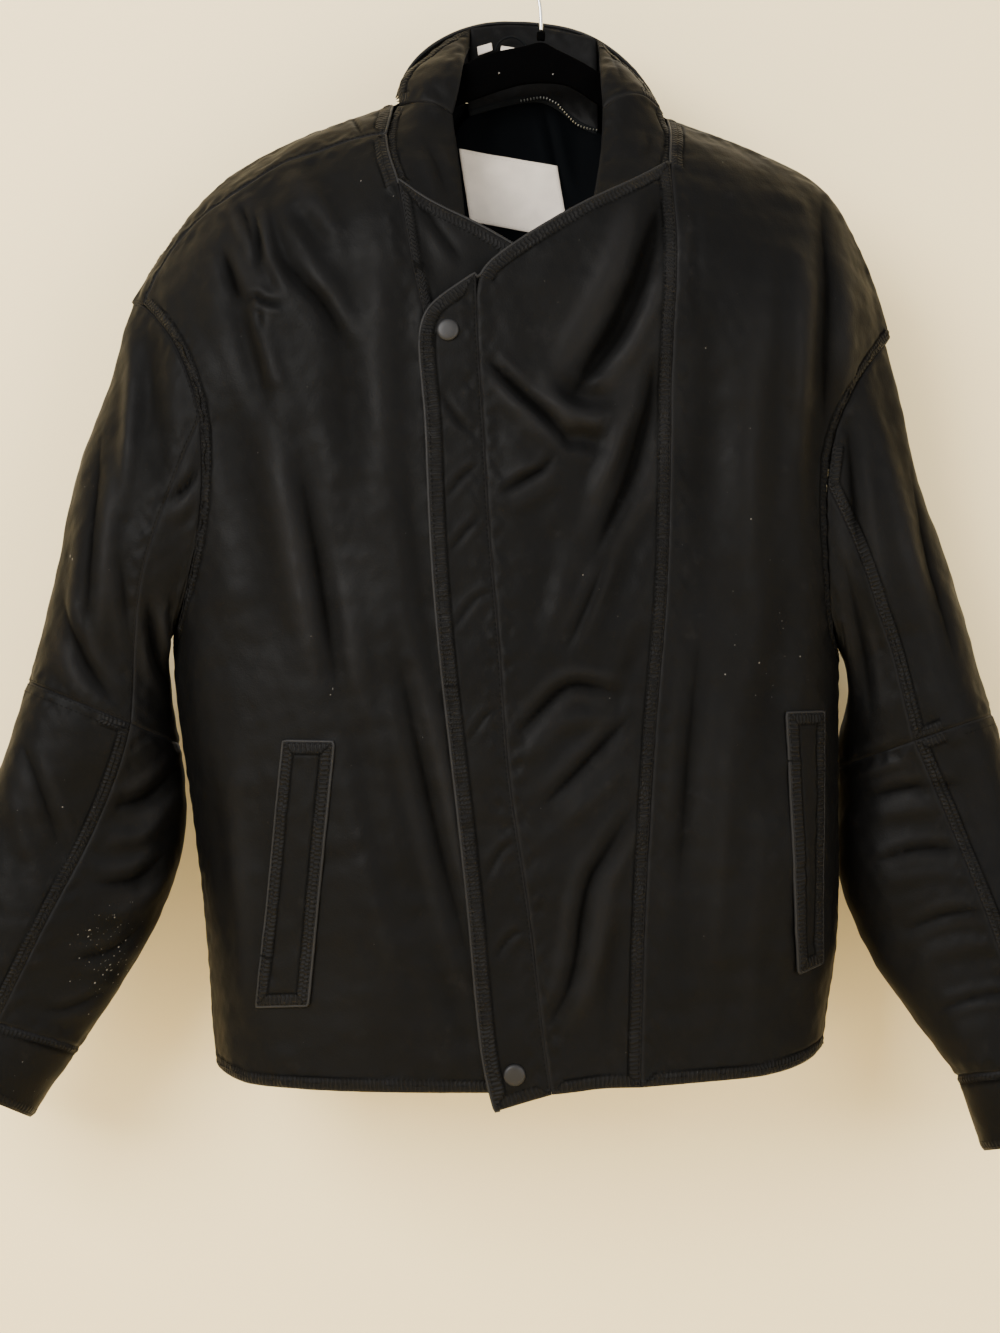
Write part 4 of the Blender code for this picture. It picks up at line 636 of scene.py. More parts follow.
def crease_height(places, creases, kinds=("ridge", "valley", "crease"), widen=0.0):
    """Adds up the given creases at u, v, in metres."""
    total = np.zeros(len(places))
    rim_share, rim_middle, rim_width = CREASE_RIM
    for kind, width, height, points in creases:
        if kind not in kinds:
            continue
        width += widen
        line = smooth_curve(points, CREASE_SAMPLES)
        low = line.min(axis=0) - CREASE_REACH * width
        high = line.max(axis=0) + CREASE_REACH * width
        near = np.all((places > low) & (places < high), axis=1)
        if not near.any():
            continue
        distance, share = line_distance(places[near], line)
        fade = np.sin(math.pi * np.clip(share, *CREASE_ENDS)) ** CREASE_FADE
        reach = distance / width
        sharp = kind == "crease"
        shape = np.exp(-CREASE_SHARPNESS * reach) if sharp else np.exp(-reach**2)
        if not widen:
            shape = shape - rim_share * np.exp(-((reach - rim_middle) / rim_width) ** 2)
        sign = 1.0 if kind == "ridge" else -1.0
        total[near] += sign * shape * fade * height * MILLIMETRE
    return total


def outer_skin(name, facing):
    """The showing skin of a cloth solid, as quads where the solid has them."""
    shape = solid_shape(name)
    rim = [face for face in shape.faces
           if min(edge.calc_length() for edge in face.edges) < RIM_EDGE]
    bmesh.ops.delete(shape, geom=rim, context="FACES")
    islands = []
    seen = set()
    for face in shape.faces:
        if face in seen:
            continue
        stack, island = [face], []
        seen.add(face)
        while stack:
            here = stack.pop()
            island.append(here)
            for edge in here.edges:
                for other in edge.link_faces:
                    if other not in seen:
                        seen.add(other)
                        stack.append(other)
        islands.append(island)
    islands.sort(key=len, reverse=True)

    def rank(island):
        if facing == "larger":
            return sum(face.calc_area() for face in island)
        total = sum((face.normal * face.calc_area() for face in island), Vector())
        return total.y if facing == "back" else -total.y

    chosen = set(max(islands[:2], key=rank))
    bmesh.ops.delete(shape, geom=[face for face in shape.faces if face not in chosen],
                     context="FACES")
    make_quads(shape, SKIN_ANGLE)
    return shape_mesh(name + "_skin", shape)


def subdivided(mesh, levels):
    """A mesh after Catmull-Clark subdivision with its corners kept."""
    item = place_object("skin", mesh)
    modifier = item.modifiers.new("smooth", "SUBSURF")
    modifier.levels = levels
    modifier.render_levels = levels
    modifier.boundary_smooth = "PRESERVE_CORNERS"
    depsgraph = bpy.context.evaluated_depsgraph_get()
    fine = bpy.data.meshes.new_from_object(item.evaluated_get(depsgraph))
    bpy.data.objects.remove(item)
    return fine


class Skin:
    """A fine open sheet: places, directions, faces and its border."""

    def __init__(self, mesh):
        self.points = np.empty(len(mesh.vertices) * 3)
        mesh.vertices.foreach_get("co", self.points)
        self.points = self.points.reshape(-1, 3)
        self.normals = np.empty(len(mesh.vertices) * 3)
        mesh.vertices.foreach_get("normal", self.normals)
        self.normals = self.normals.reshape(-1, 3)
        self.faces = [tuple(face.vertices) for face in mesh.polygons]
        used = {}
        for face in self.faces:
            for a, b in zip(face, face[1:] + face[:1]):
                key = (min(a, b), max(a, b))
                used[key] = None if key in used else (a, b)
        self.border = [pair for pair in used.values() if pair is not None]
        self.edge_points = sorted({index for pair in self.border for index in pair})
        self.tree = None

    def raise_by(self, height):
        """Moves the sheet along its normals."""
        self.points += self.normals * height[:, None]

    def read_border(self):
        """How far each point lies from the border, the nearest border point, and its run."""
        after = dict(self.border)
        self.run = {}
        self.loops = []
        left = set(after)
        while left:
            start = min(left)
            loop = [start]
            while after[loop[-1]] in left and after[loop[-1]] != start:
                loop.append(after[loop[-1]])
            left -= set(loop)
            self.loops.append(loop)
            length = 0.0
            for index, here in enumerate(loop):
                if index:
                    length += np.linalg.norm(self.points[here] - self.points[loop[index - 1]])
                self.run[here] = length
        tree = KDTree(len(self.edge_points))
        for index in self.edge_points:
            tree.insert(self.points[index], index)
        tree.balance()
        found = [tree.find(point)[1:] for point in self.points]
        self.nearest = np.array([index for index, _ in found])
        self.distance = np.array([distance for _, distance in found])

    def near_line(self, line, reach):
        """Which border points lie near a front-view line."""
        if line is None:
            return np.ones(len(self.points), dtype=bool)
        edge = np.array(self.edge_points)
        places = front_view(self.points[edge])
        distance, _ = line_distance(places, smooth_curve(line, LINE_SAMPLES))
        flags = np.zeros(len(self.points), dtype=bool)
        flags[edge[distance < reach]] = True
        return flags

    def level_lines(self, level, flags):
        """Lines at one distance from the flagged parts of the border."""
        above = self.distance > level
        links = {}
        for face in self.faces:
            crossings = []
            for a, b in zip(face, face[1:] + face[:1]):
                if above[a] != above[b] and flags[self.nearest[a]] and flags[self.nearest[b]]:
                    crossings.append((min(a, b), max(a, b)))
            if len(crossings) == 2:
                first, second = crossings
                links.setdefault(first, []).append(second)
                links.setdefault(second, []).append(first)
        lines = []
        left = set(links)
        while left:
            ends = [key for key in left if len(links[key]) == 1]
            chain = [min(ends) if ends else min(left)]
            left.discard(chain[0])
            while True:
                onward = [other for other in links[chain[-1]] if other in left]
                if not onward:
                    break
                chain.append(onward[0])
                left.discard(onward[0])
            points = []
            for a, b in chain:
                share = (level - self.distance[a]) / (self.distance[b] - self.distance[a])
                points.append(self.points[a] * (1.0 - share) + self.points[b] * share
                              + self.normals[a] * STITCH_LIFT)
            if len(points) > ROW_LEAST:
                lines.append(points)
        return lines

    def inward(self):
        """The way from each border point to the points inside that share a face with it."""
        edge = set(self.edge_points)
        near = {index: [] for index in self.edge_points}
        for face in self.faces:
            inner = [index for index in face if index not in edge]
            for index in face:
                if index in edge:
                    near[index].extend(inner)
        return {index: self.points[inner].mean(axis=0) - self.points[index]
                for index, inner in near.items() if inner}

    def spread(self, amount):
        """Moves the border outwards in the sheet, which closes the seams."""
        for index, way in self.inward().items():
            away = self.normals[index] * (way @ self.normals[index]) - way
            size = np.linalg.norm(away)
            if size > 0.0:
                self.points[index] += away / size * amount


def wall_mesh(name, skin, wall, turn):
    """Gives a sheet its thickness: a rim all round and, where asked, a turned edge."""
    count = len(skin.points)
    edge = skin.edge_points
    number = {index: count + place for place, index in enumerate(edge)}
    points = [skin.points, skin.points[edge] - skin.normals[edge] * wall]
    faces = skin.faces + [(b, a, number[a], number[b]) for a, b in skin.border]
    if turn:
        ways = skin.inward()
        inward = np.zeros((len(edge), 3))
        for place, index in enumerate(edge):
            if index in ways:
                inward[place] = ways[index] / np.linalg.norm(ways[index]) * turn
        points.append(points[1] + inward)
        faces += [(number[b], number[a], number[a] + len(edge), number[b] + len(edge))
                  for a, b in skin.border]
    mesh = bpy.data.meshes.new(name)
    mesh.from_pydata(np.concatenate(points).tolist(), [], faces)
    mesh.shade_smooth()
    return mesh


def edge_calm(skin):
    """The share of creases and unevenness that each point keeps near the border."""
    return EDGE_SHARE + (1.0 - EDGE_SHARE) * smooth_step(skin.distance / EDGE_FADE)


def relief(name, skin, strength, kinds=("ridge", "valley", "crease"), widen=0.0):
    """Height of the given creases over a sheet, in metres."""
    places = front_view(skin.points)
    seen = smooth_step((FACING_START - skin.normals[:, 1]) / FACING_FADE)
    hidden = smooth_step((FACING_START + skin.normals[:, 1]) / FACING_FADE)
    front = SLEEVE_CREASES if "sleeve" in name or "forearm" in name else FRONT_CREASES
    height = crease_height(places, front, kinds, widen) * seen
    height += crease_height(places, BACK_CREASES, kinds, widen) * hidden
    return height * strength * (1.0 if widen else edge_calm(skin))


def softness(skin):
    """Height of the leather's own unevenness and its sewn edges, in metres."""
    height = sum(ripples(skin.points, size, seed) * tall for size, seed, tall in UNEVEN)
    height *= edge_calm(skin)
    size, seed, tall, middle, spread = PUCKER
    height += (ripples(skin.points, size, seed) * tall
               * np.exp(-((skin.distance - middle) / spread) ** 2))
    depth, width = EDGE_ROUND
    return height - depth * np.exp(-(skin.distance / width) ** 2)


def seam_relief(name, skin):
    """Height, mask, trench mask for painted shade, and run of the puckered seam allowances."""
    mask = np.zeros(len(skin.points))
    trench_shade = np.zeros(len(skin.points))
    height = np.zeros(len(skin.points))
    run = np.array([skin.run[index] for index in skin.nearest])
    waver, waver_run = PUFF_WAVER
    middle, spread, depth = TRENCH
    for piece, line, reach, width, _ in SEWN:
        if piece != name or not width:
            continue
        near = skin.near_line(line, reach)[skin.nearest]
        share = skin.distance / width
        plateau = smooth_step(share / BAND_RISE) * smooth_step((BAND_END - share) / BAND_FALL)
        mask = np.maximum(mask, plateau * near)
        trench = np.exp(-((share - middle) / spread) ** 2)
        puff = 1.0 + PUFF_SHARE * np.sin(run / PUFF_RUN + waver * np.sin(run / waver_run))
        height += near * (plateau * BAND_HEIGHT * puff - trench * depth)
        # The trench mask paints shade into the trench beside the band.
        trench_shade = np.maximum(trench_shade, trench * near)
    return height, mask, trench_shade, run


def make_liner(name, base, strength):
    """The lining behind one leather piece, clear of its creases."""
    rough = subdivided(base, 1)
    liner = Skin(rough)
    bpy.data.meshes.remove(rough)
    low = relief(name, liner, strength, ("valley", "crease"), LINER_REACH)
    liner.raise_by(low - WALLS["leather"] - LINER_GAP)
    liner.spread(-LINER_INSET)
    mesh = bpy.data.meshes.new(name + "_liner")
    mesh.from_pydata(liner.points.tolist(), [], [tuple(reversed(face)) for face in liner.faces])
    mesh.shade_smooth()
    mesh.materials.append(MATERIALS["lining"])
    item = place_object(name + "_liner", mesh)
    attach(item, "root")
    return item


def wear_and_painted_light_values(skin, folds, sharp, mask, trench_shade):
    """Wear and painted light of the leather: painted shade in creases, folds and seam trenches
    below 0, rubbed edges and bands above, and rubbed ridges above that are also a painted
    highlight.
    """
    step, least, most = CREASE_WEAR_AND_PAINTED_LIGHT
    wear_and_painted_light = np.clip(sharp / step, least, most)
    step, least, most = FOLD_WEAR_AND_PAINTED_LIGHT
    wear_and_painted_light += np.clip((folds - sharp) / step, least, most)
    rub, width = EDGE_WEAR
    wear_and_painted_light += rub * np.exp(-(skin.distance / width) ** 2)
    return wear_and_painted_light + mask * BAND_WEAR - trench_shade * TRENCH_SHADE


def make_cloth(row, strength):
    """One cloth piece over its solid; keeps its skin for what is laid on it."""
    name, facing, levels, finish, width, length, area, held_by = row
    base = outer_skin(name, facing)
    fine = subdivided(base, levels)
    skin = Skin(fine)
    bpy.data.meshes.remove(fine)
    skin.read_border()
    values = {}
    if finish in ("leather", "facing"):
        folds = relief(name, skin, strength)
        sharp = relief(name, skin, strength, ("crease",))
        seam, mask, trench_shade, run = seam_relief(name, skin)
        skin.raise_by(folds + seam + softness(skin))
        # Wear value: painted shade in creases, folds and trenches, rubbed edges and bands, and
        # rubbed ridges that are also a painted highlight
        values = {"wear_and_painted_light": wear_and_painted_light_values(skin, folds, sharp, mask, trench_shade), "band": mask, "run": run}
    elif finish == "satin":
        size, seed, tall = LABEL_UNEVEN
        skin.raise_by(ripples(skin.points, size, seed) * tall)
    elif finish == "lining":
        skin.raise_by(crease_height(front_view(skin.points), LINING_CREASES))
    skin.spread(SEAM_CLOSE)
    lined = name in LINED
    mesh = wall_mesh(name + "_cloth", skin, WALLS[finish], EDGE_TURN if lined else 0.0)
    item = place_object(name + "_cloth", mesh)
    mesh.materials.append(MATERIALS[finish])
    inner = [make_liner(name, base, strength)] if lined else []
    bpy.data.meshes.remove(base)
    for label, given in values.items():
        full = np.zeros(len(mesh.vertices))
        full[:len(given)] = given
        mesh.attributes.new(label, "FLOAT", "POINT").data.foreach_set("value", full)
    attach(item, "root")
    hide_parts(name)
    MADE[name] = skin


# Skins of the finished pieces, for what is laid on them
MADE = {}


def sight(name, u, v):
    """Where the line of sight through u, v meets a piece, and its direction there."""
    skin = MADE[name]
    if skin.tree is None:
        skin.tree = BVHTree.FromPolygons(skin.points.tolist(), skin.faces)
    eye = Vector((EYE_X, -EYE_DISTANCE, EYE_Z))
    aim = Vector((EYE_X + (u - VIEW_CENTRE[0]) * PIXEL_SIZE, 0.0,
                  EYE_Z - (v - VIEW_CENTRE[1]) * PIXEL_SIZE)) - eye
    return skin.tree.ray_cast(eye, aim)[:2]


def border_runs(name, line, reach):
    """The parts of a finished piece's border that lie near a front-view line."""
    skin = MADE[name]
    flags = skin.near_line(line, reach)
    runs = []
    for loop in skin.loops:
        run = []
        start = next((at for at, index in enumerate(loop) if not flags[index]), 0)
        for index in loop[start:] + loop[:start]:
            if flags[index]:
                run.append(skin.points[index] - skin.normals[index] * BEAD_SINK)
            elif run:
                runs.append(run)
                run = []
        if run:
            runs.append(run)
    return [run for run in runs if len(run) > BEAD_LEAST]


def joined(runs, gap):
    """Runs whose ends nearly meet become one."""
    runs = [list(run) for run in runs]
    at = 0
    while at < len(runs):
        for other in range(len(runs)):
            if other == at:
                continue
            first, second = runs[at], runs[other]
            for a, b in ((first, second), (first[::-1], second), (first, second[::-1])):
                if np.linalg.norm(a[-1] - b[0]) < gap:
                    runs[at] = a + b
                    del runs[other]
                    break
            else:
                continue
            at = -1
            break
        at += 1
    return runs


def add_node(tree, kind, inputs=(), **settings):
    """A node with its settings, whose inputs are set, or linked where they come from a node."""
    node = tree.nodes.new(kind)
    for name, value in settings.items():
        setattr(node, name, value)
    for socket, value in dict(inputs).items():
        if isinstance(value, bpy.types.NodeSocket):
            tree.links.new(value, node.inputs[socket])
        else:
            node.inputs[socket].default_value = value
    return node


# Geometry node trees

def new_tree(name, inputs):
    """A node tree with a geometry input, named inputs, a material and a geometry output."""
    tree = bpy.data.node_groups.new(name, "GeometryNodeTree")
    tree.interface.new_socket("Geometry", in_out="INPUT", socket_type="NodeSocketGeometry")
    for label, default in inputs.items():
        socket = tree.interface.new_socket(label, in_out="INPUT", socket_type="NodeSocketFloat")
        socket.default_value = default
    tree.interface.new_socket("Material", in_out="INPUT", socket_type="NodeSocketMaterial")
    tree.interface.new_socket("Geometry", in_out="OUTPUT", socket_type="NodeSocketGeometry")
    given = tree.nodes.new("NodeGroupInput").outputs
    curve = add_node(tree, "GeometryNodeMeshToCurve", {"Mesh": given["Geometry"]})
    evenly = add_node(tree, "GeometryNodeResampleCurve",
                      {"Curve": curve.outputs["Curve"], "Length": given["Pitch"]}, mode="LENGTH")
    return tree, given, evenly.outputs["Curve"]


def finish_tree(tree, given, geometry):
    """Ends a tree with real geometry and its material."""
    real = add_node(tree, "GeometryNodeRealizeInstances", {"Geometry": geometry})
    paint = add_node(tree, "GeometryNodeSetMaterial",
                     {"Geometry": real.outputs["Geometry"], "Material": given["Material"]})
    add_node(tree, "NodeGroupOutput", {"Geometry": paint.outputs["Geometry"]})
    return tree


def stitch_tree():
    """Stitches along lines."""
    tree, given, curve = new_tree("Stitches", {"Pitch": 0.0038, "Length": 0.0028,
                                               "Thickness": 0.0005})
    tangent = add_node(tree, "GeometryNodeInputTangent")
    align = add_node(tree, "FunctionNodeAlignRotationToVector",
                     {"Vector": tangent.outputs["Tangent"]}, axis="X")
    bead = add_node(tree, "GeometryNodeMeshIcoSphere", {"Radius": 0.5, "Subdivisions": 1})
    size = add_node(tree, "ShaderNodeCombineXYZ", {
        "X": given["Length"], "Y": given["Thickness"], "Z": given["Thickness"]})
    place = add_node(tree, "GeometryNodeInstanceOnPoints", {
        "Points": curve, "Instance": bead.outputs["Mesh"],
        "Rotation": align.outputs["Rotation"], "Scale": size.outputs["Vector"]})
    return finish_tree(tree, given, place.outputs["Instances"])


def bead_tree():
    """A round bead along lines."""
    tree, given, curve = new_tree("Bead", {"Pitch": BEAD_PITCH, "Radius": 0.0012})
    circle = add_node(tree, "GeometryNodeCurvePrimitiveCircle",
                      {"Resolution": BEAD_SIDES, "Radius": given["Radius"]}, mode="RADIUS")
    tube = add_node(tree, "GeometryNodeCurveToMesh", {
        "Curve": curve, "Profile Curve": circle.outputs["Curve"], "Fill Caps": True})
    return finish_tree(tree, given, tube.outputs["Mesh"])


def grow(name, runs, tree, values):
    """Runs a node tree over lines and keeps the result as a plain mesh."""
    points, edges = [], []
    for run in runs:
        start = len(points)
        points += [tuple(point) for point in run]
        edges += [(index, index + 1) for index in range(start, len(points) - 1)]
    lines = bpy.data.meshes.new(name)
    lines.from_pydata(points, edges, [])
    item = place_object(name, lines)
    modifier = item.modifiers.new("grow", "NODES")
    modifier.node_group = tree
    for socket in tree.interface.items_tree:
        if socket.item_type == "SOCKET" and socket.in_out == "INPUT" and socket.name in values:
            modifier[socket.identifier] = values[socket.name]
    depsgraph = bpy.context.evaluated_depsgraph_get()
    mesh = bpy.data.meshes.new_from_object(item.evaluated_get(depsgraph))
    item.modifiers.clear()
    item.data = mesh
    bpy.data.meshes.remove(lines)
    if not len(mesh.polygons):
        raise RuntimeError(f"{name} came out empty")
    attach(item, "root")


# Materials

def shader_material(name):
    """A material with its shader, on object coordinates."""
    material = bpy.data.materials.new(name)
    material.use_nodes = True
    tree = material.node_tree
    place = add_node(tree, "ShaderNodeTexCoord")
    return material, tree, tree.nodes["Principled BSDF"], place.outputs["Object"]


def noise_node(tree, vector, scale, detail, roughness=0.5):
    """Noise, from 0 to 1."""
    return add_node(tree, "ShaderNodeTexNoise", {
        "Scale": scale, "Detail": detail, "Roughness": roughness,
        "Vector": vector}).outputs["Fac"]


def ramp(tree, value, low, high, to_low, to_high):
    """A value's range, drawn out to another and held at its ends."""
    return add_node(tree, "ShaderNodeMapRange", {
        "Value": value, "From Min": low, "From Max": high, "To Min": to_low,
        "To Max": to_high}, clamp=True).outputs["Result"]


def math_node(tree, operation, *values):
    """One sum on values."""
    return add_node(tree, "ShaderNodeMath", enumerate(values),
                    operation=operation).outputs["Value"]


def attribute(tree, name):
    """A mesh's own values."""
    return add_node(tree, "ShaderNodeAttribute", attribute_name=name).outputs["Fac"]


def mix_colour(tree, share, first, second):
    """Two colours, mixed by a share of the second."""
    first, second = ((*value, 1.0) if isinstance(value, tuple) else value
                     for value in (first, second))
    return add_node(tree, "ShaderNodeMix", {"Factor": share, 6: first, 7: second},
                    data_type="RGBA").outputs[2]


def scaled(colour, share):
    """A colour made lighter or darker."""
    return tuple(min(1.0, part * share) for part in colour)


def bump(tree, height, distance, strength, before=None):
    """A surface's direction, bent by a height."""
    inputs = {"Strength": strength, "Distance": distance, "Height": height}
    if before is not None:
        inputs["Normal"] = before
    return add_node(tree, "ShaderNodeBump", inputs).outputs["Normal"]


def leather_material(name, colour, worn, roughness, grain, gloss):
    """Worn matte leather: blotches, rubbed ridges, pebble grain and fine wrinkles, with painted
    shade in creases, folds and seam trenches and painted highlight on ridges and rib crests.
    """
    material, tree, shader, vector = shader_material(name)
    blotch = ramp(tree, noise_node(tree, vector, *BLOTCH), *BLOTCH_RANGE)
    base = mix_colour(tree, blotch, colour, scaled(colour, BLOTCH_LIFT))
    wear_and_painted_light = attribute(tree, "wear_and_painted_light")
    # Rubbed colour on edges and bands, and on ridges, where it is also a painted highlight
    base = mix_colour(tree, ramp(tree, wear_and_painted_light, *RUBBED_AND_HIGHLIGHT_RANGE), base, worn)
    # Painted shade: creases, folds and trenches darkened towards a fraction of the leather's
    # colour
    base = mix_colour(tree, ramp(tree, wear_and_painted_light, *SHADE_RANGE), scaled(colour, SHADE_LIFT), base)
    scuff = ramp(tree, noise_node(tree, vector, *SCUFF), *SCUFF_RANGE)
    base = mix_colour(tree, scuff, base, worn)
    bent = math_node(tree, "MULTIPLY_ADD", noise_node(tree, vector, *RIB_NOISE), RIB_WAVER,
                     attribute(tree, "run"))
    turns = math_node(tree, "MULTIPLY", bent, 2.0 * math.pi / RIB_PITCH)
    ribs = math_node(tree, "MULTIPLY", math_node(tree, "SINE", turns), attribute(tree, "band"))
    # Painted highlight: rubbed colour on the crests of the seam band's ribs
    base = mix_colour(tree, ramp(tree, ribs, *RIB_HIGHLIGHT_RANGE), base, worn)
    tree.links.new(base, shader.inputs["Base Color"])
    shader.inputs["Specular IOR Level"].default_value = gloss
    below, above = DULL_SPREAD
    spots = ramp(tree, noise_node(tree, vector, *DULL), *DULL_RANGE, roughness - below,
                 roughness + above)
    creased = ramp(tree, wear_and_painted_light, *CREASED_RANGE)
    tree.links.new(math_node(tree, "ADD", spots, creased), shader.inputs["Roughness"])
    pebble = add_node(tree, "ShaderNodeTexVoronoi", {"Scale": grain, "Vector": vector})
    normal = None
    for height, (distance, strength) in (
            (noise_node(tree, vector, *DENT), DENT_BUMP),
            (noise_node(tree, vector, *WRINKLE), WRINKLE_BUMP),
            (ribs, RIB_BUMP),
            (pebble.outputs["Distance"], PEBBLE_BUMP)):
        normal = bump(tree, height, distance, strength, normal)
    tree.links.new(normal, shader.inputs["Normal"])
    return material


def plain_material(name, colour, roughness, metallic=0.0, gloss=0.2, grain=0.0, depth=0.0):
    """An even material with a little variation and texture."""
    material, tree, shader, vector = shader_material(name)
    tone = ramp(tree, noise_node(tree, vector, *TONE), *TONE_RANGE)
    base = mix_colour(tree, tone, colour, scaled(colour, TONE_LIFT))
    tree.links.new(base, shader.inputs["Base Color"])
    shader.inputs["Roughness"].default_value = roughness
    shader.inputs["Metallic"].default_value = metallic
    shader.inputs["Specular IOR Level"].default_value = gloss
    if grain:
        fine = noise_node(tree, vector, grain, GRAIN_DETAIL)
        tree.links.new(bump(tree, fine, depth, GRAIN_STRENGTH), shader.inputs["Normal"])
    return material


MATERIALS = {}


def make_materials(look):
    """All the jacket's materials."""
    colour = tuple(look.colour)
    worn = tuple(look.worn_colour)
    for finish, name, lift, worn_lift, change, shine in LEATHERS:
        MATERIALS[finish] = leather_material(
            name, scaled(colour, lift), scaled(worn, worn_lift), look.roughness + change,
            look.grain, look.gloss * shine)
    for finish, values in PLAIN.items():
        MATERIALS[finish] = plain_material(*values)


# Properties

class JACKET_PG_look(bpy.types.PropertyGroup):
    """Colours and sizes of the jacket's leather."""

    colour: bpy.props.FloatVectorProperty(
        name="Leather colour", description="Colour of the leather where it isn't rubbed", size=3,
        subtype="COLOR", default=(0.0023, 0.0023, 0.0024), min=0.0, max=1.0)
    worn_colour: bpy.props.FloatVectorProperty(
        name="Rubbed colour", description="Colour of the leather where it is rubbed", size=3,
        subtype="COLOR", default=(0.0142, 0.0140, 0.0148), min=0.0, max=1.0)
    roughness: bpy.props.FloatProperty(
        name="Roughness", description="Roughness of the leather", default=0.50, min=0.1, max=1.0,
        subtype="FACTOR")
    gloss: bpy.props.FloatProperty(
        name="Gloss", description="Strength of the leather's gloss", default=0.054, min=0.0,
        max=1.0, subtype="FACTOR")
    grain: bpy.props.FloatProperty(
        name="Grain", description="Grain cells to a metre", default=850.0, min=100.0, max=4000.0)
    crease: bpy.props.FloatProperty(
        name="Crease depth", description="How deep the creases are, against the shown jacket",
        default=1.0, min=0.0, max=2.0, subtype="FACTOR")


class JACKET_PG_trim(bpy.types.PropertyGroup):
    """Sizes of the jacket's stitching and edge bead."""

    stitch_pitch: bpy.props.FloatProperty(
        name="Stitch pitch", description="From one stitch to the next", default=0.0038,
        min=0.001, max=0.02, unit="LENGTH", subtype="DISTANCE")
    stitch_length: bpy.props.FloatProperty(
        name="Stitch length", description="Length of a stitch that shows", default=0.0027,
        min=0.0005, max=0.02, unit="LENGTH", subtype="DISTANCE")
    thread: bpy.props.FloatProperty(
        name="Thread", description="Thickness of the thread", default=0.0006, min=0.0001,
        max=0.003, unit="LENGTH", subtype="DISTANCE")
    bead: bpy.props.FloatProperty(
        name="Edge bead", description="Radius of the bead along the free edges", default=0.0011,
        min=0.0003, max=0.005, unit="LENGTH", subtype="DISTANCE")


class JACKET_PG_stage(bpy.types.PropertyGroup):
    """The backdrop, floor and light."""

    backdrop: bpy.props.FloatVectorProperty(
        name="Backdrop colour", description="Colour of the wall and floor", size=3,
        subtype="COLOR", default=(0.96, 0.80, 0.47), min=0.0, max=1.0)
    power: bpy.props.FloatProperty(
        name="Light", description="Strength of the main light", default=58.0, min=0.0,
        max=1000.0, unit="POWER")


def build_group(rows, context):
    """Makes each cloth piece of a list."""
    for row in rows:
        make_cloth(row, context.scene.jacket_look.crease)
    return {"FINISHED"}


def need(names):
    """Stops an operator whose pieces were not made yet."""
    missing = [name for name in names if name not in MADE]
    if missing:
        raise RuntimeError(f"make these pieces first: {missing}")


class JACKET_OT_materials(bpy.types.Operator):
    """Makes the leather, cloth and metal materials"""
    bl_idname = "jacket.materials"
    bl_label = "Materials"

    def execute(self, context):
        make_materials(context.scene.jacket_look)
        return {"FINISHED"}


class JACKET_OT_body(bpy.types.Operator):
    """Makes the fronts, placket, shoulder strip and back"""
    bl_idname = "jacket.body"
    bl_label = "Body"

    def execute(self, context):
        return build_group(BODY, context)


class JACKET_OT_sleeves(bpy.types.Operator):
    """Makes both sleeves and their cuffs"""
    bl_idname = "jacket.sleeves"
    bl_label = "Sleeves"

    def execute(self, context):
        return build_group(SLEEVES, context)


class JACKET_OT_collar(bpy.types.Operator):
    """Makes the collar and the facings inside the neck"""
    bl_idname = "jacket.collar"
    bl_label = "Collar and facings"

    def execute(self, context):
        return build_group(COLLAR, context)


class JACKET_OT_inside(bpy.types.Operator):
    """Makes the lining, label, tabs and zip tape inside the neck"""
    bl_idname = "jacket.inside"
    bl_label = "Inside the neck"

    def execute(self, context):
        return build_group(INSIDE, context)


class JACKET_OT_pockets(bpy.types.Operator):
    """Makes the two pocket welts"""
    bl_idname = "jacket.pockets"
    bl_label = "Pocket welts"

    def execute(self, context):
        return build_group(POCKETS, context)


class JACKET_OT_snaps(bpy.types.Operator):
    """Makes the two snap caps"""
    bl_idname = "jacket.snaps"
    bl_label = "Snaps"

    def execute(self, context):
        need(["left_placket"])
        for name, u, v in SNAPS:
            middle, normal = sight("left_placket", u, v)
            shape = bmesh.new()
            loops = []
            for reach, height in SNAP_PROFILE:
                lift = normal * (height * SNAP_HEIGHT + SNAP_LIFT)
                loops.append([shape.verts.new(spot + lift) for spot in
                              ring(middle, normal, SNAP_SIDES, reach * SNAP_RADIUS)])
            for low, high in zip(loops, loops[1:]):
                for step in range(SNAP_SIDES):
                    beside = (step + 1) % SNAP_SIDES
                    shape.faces.new((low[step], high[step], high[beside], low[beside]))
            shape.faces.new(loops[0])
            bmesh.ops.recalc_face_normals(shape, faces=shape.faces)
            mesh = shape_mesh(name, shape)
            mesh.shade_smooth()
            mesh.materials.append(MATERIALS["gunmetal"])
            item = place_object(name + "_look", mesh)
            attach(item, "root")
            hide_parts(name)
        return {"FINISHED"}


class JACKET_OT_stitching(bpy.types.Operator):
    """Sews the rows of stitches"""
    bl_idname = "jacket.stitching"
    bl_label = "Stitching"

    def execute(self, context):
        trim = context.scene.jacket_trim
        need({row[0] for row in SEWN})
        runs = []
        for name, line, reach, _, rows in SEWN:
            skin = MADE[name]
            flags = skin.near_line(line, reach)
            for row in rows:
                runs += skin.level_lines(row, flags)
        grow("stitching", runs, stitch_tree(),
             {"Pitch": trim.stitch_pitch, "Length": trim.stitch_length, "Thickness": trim.thread,
              "Material": MATERIALS["thread"]})
        label = MADE["label"]
        grow("label_seam", label.level_lines(LABEL_SEAM, label.near_line(None, 0)), stitch_tree(),
             {**LABEL_STITCH, "Material": MATERIALS["pale_thread"]})
        return {"FINISHED"}


